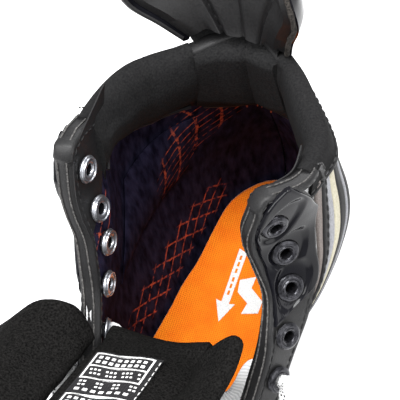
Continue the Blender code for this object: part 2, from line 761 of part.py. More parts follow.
def make_tongue():
    near = 9.0

    def panel(u, v, depth):
        along = near + (TONGUE_LENGTH - near) * v
        side = LATERAL if u < 0.5 else MEDIAL
        half = tongue_half(along, side)
        if v > 0.8:
            half *= math.sqrt(max(1 - ((v - 0.8) / 0.24) ** 2, 0.05))
        return tongue_point(half * (2 * u - 1), along, depth)

    half_thick = TONGUE_THICK / 2
    slab("tongue_body", panel, 6, 8, half_thick, -half_thick, "black_felt", TONGUE_HINGE)
    slab("tongue_cover", panel, 6, 8, -half_thick - GAP, -half_thick - GAP - 1.4, "white_shell", TONGUE_HINGE)

    def label(u, v, depth):
        return tongue_point(-9.0 + 20.0 * u, 17.0 + 42.0 * v, depth)

    slab("tongue_label", label, 2, 4, half_thick + GAP + 0.6, half_thick + GAP, "black_pad", TONGUE_HINGE)

    for side, name in SIDES:
        fold = math.radians(WING_REST[side])

        def wing(u, v, depth, side=side, fold=fold):
            along = WING_STATIONS[0] + (WING_STATIONS[-1] - WING_STATIONS[0]) * v
            ease = math.sin(math.pi * min(max(v, 0.0), 1.0)) ** 0.4
            out = GAP + (4.0 + (WING_WIDTH - 4.0) * ease) * u
            drop = depth - half_thick
            shift = out * math.cos(fold) - drop * math.sin(fold)
            lift = out * math.sin(fold) + drop * math.cos(fold)
            return tongue_point(side * (wing_seam(along, side) + shift), along, half_thick + lift)

        made = slab(f"tongue_wing_{name}", wing, 4, 7, half_thick, half_thick - WING_THICK, "black_felt")
        pivot = Vector(tongue_point(side * wing_seam(38.0, side), 38.0, half_thick)) * MM
        made.data.transform(Matrix.Translation(-pivot))
        made.location = pivot

    def base(u, v, depth):
        y = -88.0 + 68.0 * v
        half = 20.0 - 2.5 * v ** 2
        middle = 1.5 - 3.0 * v
        height = float(np.interp(y, (-88.0, -66.0, -52.0, -40.0, -29.0, -20.0),
            (87.5, 91.5, 94.2, 99.2, 106.4, 115.5)))
        x = half * (2 * u - 1)
        crown = 4.0 * (1 - (2 * u - 1) ** 2) - 4.0
        return np.array([middle + x, y, height + crown + depth])

    slab("tongue_base", base, 6, 8, 2.0, -2.6, "black_felt")


# ---------------------------------------------------------------- chassis
FLANGE_THICK = 3.0


def tower(name, top_y, bottom_y, flange_half, neck_half, bottom_half, bottom_z):
    """A tower from its flange under the boot down to the rail, as rounded rectangles one below the other."""
    per_ring = 20
    inset = 7.0
    stages = [(0.0, flange_half, top_y), (0.0, flange_half, top_y)]
    neck_y = (top_y[0] + inset, top_y[1] - inset)
    for share in (0.0, 0.2, 0.45, 0.7, 1.0):
        ease = share ** 0.6
        ends = tuple(a + (b - a) * ease for a, b in zip(neck_y, bottom_y))
        stages.append((share, neck_half + (bottom_half - neck_half) * share ** 0.5, ends))
    points, faces = [], []
    for k, (share, half, (y0, y1)) in enumerate(stages):
        for i in range(per_ring):
            angle = 2 * math.pi * (i + 0.5) / per_ring
            c, s = math.cos(angle), math.sin(angle)
            x = half * math.copysign(abs(c) ** 0.5, c)
            y = (y0 + y1) / 2 + (y1 - y0) / 2 * math.copysign(abs(s) ** 0.5, s)
            top = sole_z(y) - OUTSOLE_THICK - GAP
            under = top - FLANGE_THICK
            if k == 0:
                z = top
            elif k == 1:
                z = under
            else:
                z = under + (bottom_z - under) * share
            points.append((x, y, z))
    rings = len(stages)
    for k in range(rings - 1):
        for i in range(per_ring):
            j = (i + 1) % per_ring
            faces.append((k * per_ring + i, k * per_ring + j, (k + 1) * per_ring + j, (k + 1) * per_ring + i))
    faces.append(tuple(reversed(range(per_ring))))
    faces.append(tuple((rings - 1) * per_ring + i for i in range(per_ring)))
    return solid(name, points, faces, "white_shell")


def extrude_x(name, outline, half, finish):
    """A side outline of (y, z) points, given a thickness across."""
    count = len(outline)
    points = [(-half, y, z) for y, z in outline] + [(half, y, z) for y, z in outline]
    faces = [tuple(range(count)), tuple(count + i for i in reversed(range(count)))]
    for i in range(count):
        j = (i + 1) % count
        faces.append((i, i + count, j + count, j))
    return solid(name, points, faces, finish)


FRONT_BOLT_Y = -58.0
REAR_BOLT_Y = 74.0
RIVET_PLACES = ((-17.0, -76.0), (17.0, -76.0), (-17.0, -42.0), (17.0, -42.0), (-13.5, 84.0), (13.5, 84.0))


def runner_outline():
    """Runner seen from the side: flat in the middle, rockered towards its ends, rounded toe and heel."""
    flat = 30.0
    outline = []
    for y in np.linspace(-RUNNER_HALF_LENGTH + 14, RUNNER_HALF_LENGTH - 10, 13):
        beyond = max(abs(y) - flat, 0.0)
        outline.append((y, beyond**2 / (2 * 2700.0)))
    for angle in np.linspace(-60, 60, 5):
        turn = math.radians(angle)
        outline.append((RUNNER_HALF_LENGTH - 8.0 + 8.0 * math.cos(turn), 10.0 + 8.0 * math.sin(turn)))
    outline += [(RUNNER_HALF_LENGTH - 12.0, 21.0), (-RUNNER_HALF_LENGTH + 14.0, 21.0)]
    for angle in np.linspace(120, 240, 5):
        turn = math.radians(angle)
        outline.append((-RUNNER_HALF_LENGTH + 11.0 + 11.0 * math.cos(turn), 11.5 + 9.5 * math.sin(turn)))
    return outline


def make_chassis():
    rail_front, rail_back = -RUNNER_HALF_LENGTH + 5.0, RUNNER_HALF_LENGTH - 5.0
    rail = [
        (rail_front, HOLDER_RAIL_BOTTOM_Z),
        (rail_back, HOLDER_RAIL_BOTTOM_Z),
        (rail_back + 1.5, 22.0),
        (rail_back - 6.0, 29.0),
        (40.0, 30.0),
        (0.0, 27.5),
        (-30.0, 30.0),
        (rail_front + 8.0, 29.0),
        (rail_front - 1.5, 22.0),
    ]
    holder = extrude_x("blade_holder", rail, 6.0, "white_shell")
    front = tower("front_tower_shape", (-94.0, -26.0), (-92.0, -34.0), 24.0, 10.5, 5.4, 24.0)
    rear = tower("rear_tower_shape", (46.0, 103.0), (54.0, 97.0), 19.5, 8.0, 5.4, 24.0)
    slot = extrude_x(
        "runner_slot", [(-140.0, 5.0), (140.0, 5.0), (140.0, 21.0 + GAP), (-140.0, 21.0 + GAP)],
        RUNNER_THICK / 2 + GAP, "steel")
    upright = (0.0, 0.0, 1.0)
    bolts = rods("bolt_holes", [((0, FRONT_BOLT_Y, 45.0), upright), ((0, REAR_BOLT_Y, 45.0), upright)], 2.6,
        24.6)
    rivets = rods("rivet_holes", [((x, y, 58.0), upright) for x, y in RIVET_PLACES], 1.8, 9.0)
    for shape in (front, rear, slot):
        hide_cutter(shape)
    cut(holder, front, "UNION")
    cut(holder, rear, "UNION")
    cut(holder, slot)
    cut(holder, bolts)
    cut(holder, rivets)
    outsole = bpy.data.objects["outsole"]
    board = bpy.data.objects["insole_board"]
    cut(outsole, bolts)
    cut(outsole, rivets)
    wide = [((x, y, 60.0), upright) for x, y in RIVET_PLACES]
    wide += [((0, FRONT_BOLT_Y, 60.0), upright), ((0, REAR_BOLT_Y, 60.0), upright)]
    cut(board, rods("board_holes", wide, 6.0, 12.0))
    extrude_x("runner", runner_outline(), RUNNER_THICK / 2, "steel")

    for name, y in (("front_runner_bolt", FRONT_BOLT_Y), ("rear_runner_bolt", REAR_BOLT_Y)):
        head = sole_z(y) + GAP
        profile = [(0.6, 21.0 + GAP), (2.2, 21.6), (2.2, head), (4.8, head), (4.8, head + 1.0),
            (4.0, head + 1.5)]
        turned(name, profile, 12, "steel", (0, y, 0), upright)
    for number, (x, y) in enumerate(RIVET_PLACES, 1):
        low = sole_z(y) - OUTSOLE_THICK - 2 * GAP - FLANGE_THICK
        high = sole_z(y) + GAP + 0.15
        profile = [
            (1.6, low - 1.5), (3.2, low - 0.8), (3.2, low - 0.1), (1.4, low - 0.1),
            (1.4, high), (3.0, high), (3.0, high + 0.6), (2.0, high + 1.1),
        ]
        turned(f"holder_rivet_{number}", profile, 10, "steel", (x, y, 0), upright)


# ---------------------------------------------------------------- lace
def lace_strand(start_side):
    """Path of one strand from the bottom eyelet up to the fifth, crossing the throat between the pairs."""
    points = []
    side = start_side
    for number in (7, 6, 5, 4):
        centre, axis = eyelet_places(side)[number]
        outside = centre + axis * 6.6
        inside = centre - axis * 7.6
        points += [tuple(inside), tuple(centre), tuple(outside)]
        if number == 4:
            break
        target_centre, target_axis = eyelet_places(-side)[number - 1]
        over_edge = skin(side, centre[2] + 2.0, 7.8, distance=-0.5)
        under_edge = skin(-side, target_centre[2] - 2.5, -8.8, distance=1.0)
        middle = (np.array(over_edge) + np.array(under_edge)) / 2
        middle[2] += 1.9 * start_side
        points += [tuple(over_edge), tuple(middle), tuple(under_edge)]
        side = -side
    return points


def make_lace():
    first = lace_strand(LATERAL)
    second = lace_strand(MEDIAL)
    bar_left, bar_right = np.array(first[0]), np.array(second[0])
    bar = [tuple(bar_left + (bar_right - bar_left) * share + np.array([0, 0, -1.0]))
           for share in (0.15, 0.5, 0.85)]
    route = second[::-1] + bar[::-1] + first
    path = smooth_path(route, 92)
    tube("lace_laced", path, LACE_R, "lace")
    for side, name in SIDES:
        points = [(side * x, y, z) for x, y, z in LACE_ROUTE[side]]
        tube(f"lace_end_{name}", smooth_path(points, 28), LACE_END_R, "lace")
        make_hank(side, name)


def make_hank(side, name):
    outline = []
    straight = (HANK_LENGTH - HANK_WIDTH) / 2
    for end in (1, -1):
        for angle in np.linspace(-90, 90, 9):
            turn = math.radians(angle if end == 1 else angle + 180)
            outline.append((
                side * HANK_CENTRE_X + HANK_WIDTH / 2 * math.sin(turn),
                HANK_CENTRE_Y + end * straight + HANK_WIDTH / 2 * math.cos(turn),
            ))
    prism(f"lace_hank_{name}", outline, lambda x, y: 0.05, lambda x, y: HANK_HEIGHT, "lace", rim=2.0)
    profile = [(0.6, -9.0), (1.3, -8.4), (1.4, 8.6), (1.0, 9.0)]
    turned(f"lace_aglet_{name}", profile, 8, "black_pad", (side * AGLET_X, AGLET_Y, AGLET_Z), (0.0, 1.0, 0.0))


def main():
    clear_scene()
    make_toe_cap()
    for side, name in SIDES:
        make_quarter(side, name)
        make_linings(side, name)
        make_ankle_pads(side, name)
        make_facings(side, name)
        pierce(side, name)
        make_eyelets(side, name)
    make_achilles_pad()
    make_heel_counter()
    make_sole()
    make_chassis()
    make_tendon_guard()
    make_tongue()
    make_lace()
    for item in bpy.data.objects:
        item.location += Vector(ORIGIN_SHIFT) * MM


main()
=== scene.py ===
"""Child's right ice skate, dressed: shell, padding, felt tongue, insole, lace and blade round the frame.

Sizes are in millimetres in the boot's own frame, and each piece is moved to the row frame, in metres,
as it is made. The toe points to -Y, the inner (medial) side to +X.
"""

import math

import bmesh
import bpy
import numpy as np
from mathutils import Matrix, Vector


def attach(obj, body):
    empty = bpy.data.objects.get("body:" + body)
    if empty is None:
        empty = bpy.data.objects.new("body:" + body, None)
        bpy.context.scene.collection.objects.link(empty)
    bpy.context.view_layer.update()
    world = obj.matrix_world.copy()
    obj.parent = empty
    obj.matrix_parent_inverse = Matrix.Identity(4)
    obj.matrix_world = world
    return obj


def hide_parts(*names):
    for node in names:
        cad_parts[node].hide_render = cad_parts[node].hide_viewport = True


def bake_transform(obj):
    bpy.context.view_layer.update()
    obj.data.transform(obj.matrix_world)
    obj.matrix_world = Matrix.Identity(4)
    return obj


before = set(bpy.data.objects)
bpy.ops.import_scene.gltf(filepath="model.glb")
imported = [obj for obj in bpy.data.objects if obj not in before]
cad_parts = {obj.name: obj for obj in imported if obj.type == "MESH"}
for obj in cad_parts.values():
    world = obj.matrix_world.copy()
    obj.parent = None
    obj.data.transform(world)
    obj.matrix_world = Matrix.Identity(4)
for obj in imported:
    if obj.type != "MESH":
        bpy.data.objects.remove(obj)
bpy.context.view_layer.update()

MM = 0.001
SHIFT = np.array((-1.4, 2.24, 0.0))
LATERAL = -1
MEDIAL = 1
SIDES = ((LATERAL, "lateral"), (MEDIAL, "medial"))
BOOT = "boot"
TONGUE = "tongue"
GUARD = "tendon_guard_body"

# ---------------------------------------------------------------- the boot's wall, as in the CAD
TOE_JOINT_Y = -66.0
SOLE_FRONT_Z = 57.0
SOLE_SLOPE = 0.03
LINER_OUTER = -3.2
LINER_INNER = -4.3
EYELET_DEPTH = 0.8

# Rows of the boot's outer surface, from the sole up. Columns: height, heel's back y, then half-widths
# (lateral, medial) at the heel corner, behind the ankle, the ankle, the waist and the instep, then the
# front edge's x and y on each side.
LEVELS = (
    (56, 108.0, 18.5, 18.5, 26.5, 26.5, 31.0, 31.0, 37.0, 35.5, 39.5, 40.5, 36.0, -66.0, 36.5, -66.0),
    (72, 111.6, 20.5, 20.5, 28.6, 28.6, 33.4, 33.4, 39.5, 38.5, 43.0, 44.0, 38.8, -66.0, 39.0, -66.0),
    (86, 112.3, 21.0, 21.0, 30.0, 30.6, 35.6, 37.0, 40.2, 40.2, 42.6, 43.6, 36.6, -66.0, 37.0, -66.0),
    (98, 111.0, 21.0, 21.0, 31.2, 32.6, 37.2, 40.0, 39.8, 41.0, 40.0, 41.0, 29.0, -66.0, 29.6, -66.0),
    (104.5, 109.3, 20.8, 20.8, 31.8, 33.4, 38.0, 41.5, 39.3, 41.0, 37.6, 38.6, 17.5, -65.5, 18.5, -65.7),
    (111, 107.3, 20.6, 20.6, 32.2, 34.0, 38.6, 43.0, 38.8, 41.4, 36.0, 37.4, 21.0, -51.5, 22.0, -52.5),
    (118, 105.0, 20.4, 20.4, 32.6, 34.4, 39.2, 44.0, 38.5, 42.0, 35.0, 37.4, 24.2, -39.2, 24.5, -41.0),
    (126, 102.6, 20.2, 20.0, 33.2, 34.6, 39.8, 44.8, 38.3, 42.8, 34.6, 38.0, 27.2, -27.2, 27.2, -29.1),
    (134, 100.4, 20.0, 19.6, 33.8, 34.4, 40.4, 45.2, 38.2, 43.4, 34.0, 39.0, 29.4, -15.8, 29.2, -18.2),
    (143, 98.2, 19.8, 19.2, 34.4, 33.8, 40.8, 45.3, 38.2, 44.2, 33.2, 40.6, 31.3, -5.0, 30.7, -7.9),
    (154, 96.0, 19.6, 18.7, 34.8, 32.4, 40.8, 44.6, 38.4, 44.4, 33.0, 40.4, 32.8, 1.6, 29.0, 3.1),
    (163, 94.8, 19.5, 18.3, 34.8, 30.6, 40.2, 43.2, 38.4, 42.6, 33.6, 38.0, 34.1, 6.0, 25.0, 6.9),
    (171, 93.7, 19.4, 17.9, 34.4, 29.0, 39.4, 40.8, 38.2, 40.2, 35.0, 36.0, 36.0, 8.2, 23.1, 8.4),
    (178, 93.0, 19.3, 17.6, 33.8, 27.6, 38.6, 38.8, 38.0, 38.8, 36.2, 36.0, 37.2, 10.4, 24.1, 9.2),
    (186, 92.6, 19.3, 17.5, 33.2, 27.0, 37.9, 37.0, 37.8, 38.0, 37.0, 36.8, 37.6, 13.0, 26.2, 11.0),
    (198, 92.5, 19.3, 17.5, 32.8, 26.6, 37.2, 35.0, 37.4, 37.0, 37.6, 37.4, 37.4, 16.3, 27.3, 14.2),
)
REAR_SHARE = 0.60
ANKLE_Y = 45.0
HEEL_CORNER_BACK = 14.0

# Top line of the collar, from the facing's corner to the back: (y, z)
RIM = {
    LATERAL: ((16.0, 195.6), (24.0, 194.3), (33.0, 190.0), (48.0, 185.0), (59.0, 181.5), (68.0, 178.8),
              (76.0, 177.0)),
    MEDIAL: ((13.0, 191.8), (25.0, 189.0), (34.5, 186.0), (45.0, 183.0), (58.0, 180.0), (69.0, 178.0),
             (79.0, 177.0)),
}
# Lower line of the collar pads and the achilles pad: (y, z)
PAD_LINE = {
    LATERAL: ((20.0, 166.0), (33.0, 170.0), (50.0, 160.0), (66.0, 151.0), (80.0, 149.0), (90.0, 141.0),
              (98.0, 138.0)),
    MEDIAL: ((20.0, 164.0), (33.0, 166.0), (50.0, 158.0), (66.0, 151.0), (80.0, 149.0), (90.0, 141.0),
             (98.0, 138.0)),
}
# Stretch of the contour that each collar pad covers
PAD_SPAN = {LATERAL: (0.17, 0.79), MEDIAL: (0.20, 0.79)}
EYELETS = {
    LATERAL: ((183.0, 6.2), (167.0, 7.5), (155.0, 8.4), (143.5, 6.2), (132.0, 9.0), (123.4, 11.2),
              (116.6, 12.8), (111.2, 13.5)),
    MEDIAL: ((179.5, 6.1), (165.5, 9.4), (154.0, 6.8), (142.5, 7.0), (131.5, 10.1), (122.8, 12.3),
             (116.2, 13.5), (111.0, 13.5)),
}

BOARD_THICK = 2.0
GAP = 0.3
PATCH_BACK = 1.67  # how far out of the wall the moulded patch's inner face lies
FACING_GAP = 0.65
FACING_THICK = 0.9
FLANGE_HOLE_R = 4.65  # hole in the patch round an eyelet's flange
CLOTH_HOLE_R = 2.7  # hole in cloth and strips round an eyelet's barrel
PILLOW_ENDS = {LATERAL: 0.762, MEDIAL: 0.804}  # where the achilles pillow meets the collar pads
CORNER_STATION = 120  # the binding's station at the collar's corner
WING_SEAM = {LATERAL: 17.5, MEDIAL: 21.5}  # the lobes' folds, across from the tongue's middle

# ---------------------------------------------------------------- curves and the wall
def hermite(knots, values, at):
    """Smooth curve through values at rising knots, one column or many."""
    knots = np.asarray(knots, float)
    values = np.asarray(values, float)
    slopes = np.gradient(values, knots, axis=0)
    at = np.clip(np.asarray(at, float), knots[0], knots[-1])
    i = np.minimum(np.searchsorted(knots, at, side="right") - 1, len(knots) - 2)
    h = knots[i + 1] - knots[i]
    t = (at - knots[i]) / h
    if values.ndim > 1 and at.ndim:
        h, t = h[:, None], t[:, None]
    return (
        (2 * t**3 - 3 * t**2 + 1) * values[i]
        + (t**3 - 2 * t**2 + t) * h * slopes[i]
        + (3 * t**2 - 2 * t**3) * values[i + 1]
        + (t**3 - t**2) * h * slopes[i + 1]
    )


def run_along(path):
    """Distance of each point along a path."""
    return np.concatenate([[0], np.cumsum(np.linalg.norm(np.diff(path, axis=0), axis=1))])


def unit(vectors):
    return vectors / np.linalg.norm(vectors, axis=1)[:, None]


def across_to(vectors, tangents):
    """The part of each vector square to its tangent."""
    return vectors - tangents * np.sum(vectors * tangents, axis=1)[:, None]


def evenly(path, count, endpoint=True):
    """Evenly spaced points along a fine path."""
    run = run_along(path)
    wanted = np.linspace(0, run[-1], count, endpoint=endpoint)
    return np.stack([np.interp(wanted, run, path[:, axis]) for axis in range(path.shape[1])], axis=1)


def smooth_path(points, count):
    """Evenly spaced points along a smooth curve through the given ones."""
    points = np.asarray(points, float)
    steps = np.linalg.norm(np.diff(points, axis=0), axis=1)
    knots = np.concatenate([[0], np.cumsum(np.sqrt(steps))])
    fine = hermite(knots, points, np.linspace(0, knots[-1], 12 * len(points)))
    return evenly(fine, count)


LEVEL_Z = [row[0] for row in LEVELS]
LEVEL_VALUES = [row[1:] for row in LEVELS]
ROWS = np.arange(54.0, 200.1, 0.5)
RUN = np.arange(-12.0, 200.0, 1.0)


def wall_table(side):
    """The outer surface over height and distance, carried on past both of its ends, and its lengths."""
    table, lengths = [], []
    pick = 0 if side == LATERAL else 1
    for z in ROWS:
        row = hermite(LEVEL_Z, LEVEL_VALUES, z)
        back = row[0]
        heel, rear, ankle, waist, instep = (row[1 + 2 * i + pick] for i in range(5))
        edge_x, edge_y = row[11 + 2 * pick], row[12 + 2 * pick]
        corner = back - HEEL_CORNER_BACK
        outline = np.array([
            (edge_x, edge_y),
            (instep, edge_y + 0.35 * (ANKLE_Y - edge_y)),
            (waist, edge_y + 0.70 * (ANKLE_Y - edge_y)),
            (ankle, ANKLE_Y),
            (rear, ANKLE_Y + REAR_SHARE * (corner - ANKLE_Y)),
            (heel, corner),
            (0.0, back),
            (-heel, corner),
        ])
        knots = np.concatenate([[0], np.cumsum(np.linalg.norm(np.diff(outline, axis=0), axis=1) ** 0.6)])
        fine = hermite(knots, outline, np.linspace(0, knots[-2], 90))
        before = fine[0] + (fine[0] - fine[1]) / np.linalg.norm(fine[1] - fine[0]) * 12.0
        beyond = fine[-2::-1][:60] * (-1, 1)
        whole = np.concatenate([[before], fine, beyond]) * (side, 1)
        along = run_along(whole) - 12.0
        lengths.append(along[90])
        table.append(np.stack([np.interp(RUN, along, whole[:, axis]) for axis in range(2)], axis=1))
    return np.array(table), np.array(lengths)


WALL = {side: wall_table(side) for side, _ in SIDES}


def skin(side, z, depth=0.0, distance=None, part=None):
    """Points of the boot's wall, depth out of its outer surface.

    The place along it is a distance from its front edge, or a part of its whole length.
    """
    table, lengths = WALL[side]
    z, depth, run = np.broadcast_arrays(*(np.asarray(v, float) for v in (z, depth,
        part if distance is None else distance)))
    if distance is None:
        run = run * np.interp(z, ROWS, lengths)

    def at(dz, ds):
        row = np.clip((z + dz - ROWS[0]) * 2, 0, len(ROWS) - 1.001)
        column = np.clip(run + ds - RUN[0], 0, len(RUN) - 1.001)
        i, j = row.astype(int), column.astype(int)
        fi, fj = (row - i)[..., None], (column - j)[..., None]
        return ((table[i, j] * (1 - fj) + table[i, j + 1] * fj) * (1 - fi)
                + (table[i + 1, j] * (1 - fj) + table[i + 1, j + 1] * fj) * fi)

    flat = at(0, 0)
    run_way = at(0, 1.5) - at(0, -1.5)
    rise = at(1.5, 0) - at(-1.5, 0)
    run_way = np.concatenate([run_way, np.zeros_like(run_way[..., :1])], axis=-1)
    rise = np.concatenate([rise, np.full_like(rise[..., :1], 3.0)], axis=-1)
    normal = np.cross(run_way, rise) * side
    normal /= np.linalg.norm(normal, axis=-1, keepdims=True)
    return np.concatenate([flat, z[..., None]], axis=-1) + depth[..., None] * normal


def skin_normal(side, z, distance):
    return skin(side, z, 1.0, distance=distance) - skin(side, z, 0.0, distance=distance)


def height_on(side, part, line):
    """Height at which the wall's columns at these parts meet a line given as (y, z) points."""
    ys, zs = zip(*line)
    z = np.full(np.shape(part), 178.0)
    for _ in range(8):
        z = np.interp(skin(side, z, part=part)[..., 1], ys, zs)
    return z


def sole_z(y):
    return SOLE_FRONT_Z + SOLE_SLOPE * (y - TOE_JOINT_Y)


# ---------------------------------------------------------------- meshes
def piece(name, shape, look, body=BOOT, uv=None, sharp=50):
    """One object from (points, faces) in millimetres; uv has one (across, along) in metres for each point."""
    points, faces = shape
    mesh = bpy.data.meshes.new(name)
    mesh.from_pydata([tuple(p) for p in (np.asarray(points, float) + SHIFT) * MM], [], faces)
    if uv is not None:
        layer = mesh.uv_layers.new(name="UVMap")
        index = np.empty(len(mesh.loops), np.int32)
        mesh.loops.foreach_get("vertex_index", index)
        layer.data.foreach_set("uv", np.asarray(uv, np.float32)[index].ravel())
    working = bmesh.new()
    working.from_mesh(mesh)
    bmesh.ops.recalc_face_normals(working, faces=working.faces)
    working.to_mesh(mesh)
    working.free()
    mesh.shade_smooth()
    mesh.set_sharp_from_angle(angle=math.radians(sharp))
    made = bpy.data.objects.new(name, mesh)
    bpy.context.scene.collection.objects.link(made)
    mesh.materials.append(look)
    if body:
        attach(made, body)
    return made


def grid_faces(rows, columns, start=0, turn=False):
    faces = []
    for j in range(rows - 1):
        for i in range(columns - 1):
            a = start + j * columns + i
            face = (a, a + 1, a + columns + 1, a + columns)
            faces.append(face[::-1] if turn else face)
    return faces


def panel(front, back):
    """A closed sheet between two grids of points: its points and faces."""
    rows, columns = front.shape[:2]
    count = rows * columns
    faces = grid_faces(rows, columns) + grid_faces(rows, columns, count, True)
    border = list(range(columns)) + [j * columns + columns - 1 for j in range(1, rows)]
    border += [(rows - 1) * columns + i for i in range(columns - 2, -1, -1)]
    border += [j * columns for j in range(rows - 2, 0, -1)]
    for a, b in zip(border, border[1:] + border[:1]):
        faces.append((a, a + count, b + count, b))
    return np.concatenate([front.reshape(-1, 3), back.reshape(-1, 3)]), faces


def sheet_metres(across, along, scale=MM):
    """The two faces' own metres, for a sheet over two grids of millimetres."""
    one = (np.stack(np.broadcast_arrays(across, along), axis=-1) * scale).reshape(-1, 2)
    return np.concatenate([one, one])


def swept(rings, closed=False):
    """A body through rings of points, with its ends capped, or joined end to end."""
    rings = np.asarray(rings)
    count, size = rings.shape[:2]
    faces = []
    for k in range(count if closed else count - 1):
        n = (k + 1) % count
        for i in range(size):
            j = (i + 1) % size
            faces.append((k * size + i, k * size + j, n * size + j, n * size + i))
    if not closed:
        faces.append(tuple(range(size))[::-1])
        faces.append(tuple((count - 1) * size + i for i in range(size)))
    return rings.reshape(-1, 3), faces


def joined(*bodies):
    """Several (points, faces) bodies in one mesh."""
    points, faces, start = [], [], 0
    for body_points, body_faces in bodies:
        points.append(np.asarray(body_points, float))
        faces += [tuple(i + start for i in face) for face in body_faces]
        start += len(body_points)
    return np.concatenate(points), faces


def frames(path, first_up):
    """Ups and sides along a path, turning no more than the path does."""
    path = np.asarray(path, float)
    tangents = unit(np.gradient(path, axis=0))
    up = np.asarray(first_up, float)
    ups = []
    for tangent in tangents:
        up = up - tangent * (up @ tangent)
        up = up / np.linalg.norm(up)
        ups.append(up)
    ups = np.array(ups)
    return ups, np.cross(tangents, ups)


def bead(path, radius, sides=8, flat=1.0):
    """A round or flattened cord shape along a path."""
    ups, across = frames(path, (0.2, 0.3, 0.9))
    turn = np.linspace(0, 2 * math.pi, sides, endpoint=False)
    radius = np.broadcast_to(np.asarray(radius, float), (len(path),))
    rings = (np.asarray(path)[:, None]
             + across[:, None] * (np.cos(turn)[None, :, None] * radius[:, None, None])
             + ups[:, None] * (np.sin(turn)[None, :, None] * radius[:, None, None] * flat))
    return swept(rings)


def stitches(path, length=2.3, gap=1.1, radius=0.28):
    """A row of thread stitches lying along a path."""
    path = np.asarray(path, float)
    run = run_along(path)
    bodies = []
    for start in np.arange(0.4, run[-1] - length, length + gap):
        ends = np.linspace(start, start + length, 5)
        line = np.stack([np.interp(ends, run, path[:, axis]) for axis in range(3)], axis=1)
        bodies.append(bead(line, radius * np.array((0.35, 0.9, 1.0, 0.9, 0.35)), sides=5))
    return joined(*bodies)


def turned(profile, sides, place, axis):
    """A body of revolution from (radius, along) points, closed round its ring."""
    turn = np.array(Vector(axis).normalized().to_track_quat("Z", "Y").to_matrix())
    angles = np.linspace(0, 2 * math.pi, sides, endpoint=False)
    rings = np.array([[(r * math.cos(a), r * math.sin(a), h) for r, h in profile] for a in angles])
    return swept(rings @ turn.T + np.asarray(place, float), closed=True)


def cut_round(made, places, radius):
    """Round holes through a piece at (centre, axis) places."""
    reach = 9.0
    bodies = []
    for centre, axis in places:
        turn = np.array(Vector(axis).normalized().to_track_quat("Z", "Y").to_matrix())
        angles = np.linspace(0, 2 * math.pi, 20, endpoint=False)
        ring = np.stack([radius * np.cos(angles), radius * np.sin(angles), 0 * angles], axis=1)
        bodies.append(swept([(ring + (0, 0, h)) @ turn.T + centre for h in (-reach, reach)]))
    cutter = piece("cutter", joined(*bodies), made.data.materials[0], body=None)
    modifier = made.modifiers.new("holes", "BOOLEAN")
    modifier.solver = "EXACT"
    modifier.object = cutter
    graph = bpy.context.evaluated_depsgraph_get()
    mesh = bpy.data.meshes.new_from_object(made.evaluated_get(graph), depsgraph=graph)
    made.modifiers.clear()
    made.data = mesh
    bpy.data.objects.remove(cutter, do_unlink=True)
    return made


# ---------------------------------------------------------------- looks
WEAVE_PITCH = 0.0016  # metres, as are the other sizes in the looks
LINER_LINE_PITCH, LINER_LINE_WIDTH = 0.0105, 0.00125
LINER_PRINTS = (  # centre, half-size and slant of each printed place, along and up the wall
    (0.104, 0.139, 0.020, 0.021, 0.45),
    (0.124, 0.0815, 0.036, 0.0085, 0.0),
    (0.006, 0.161, 0.009, 0.0065, 0.0),
)
LACE_DOT_PITCH, LACE_RIB_PITCH = 0.0017, 0.0011
COVER_ROW_PITCH, COVER_DASH_PITCH = 0.0024, 0.0052


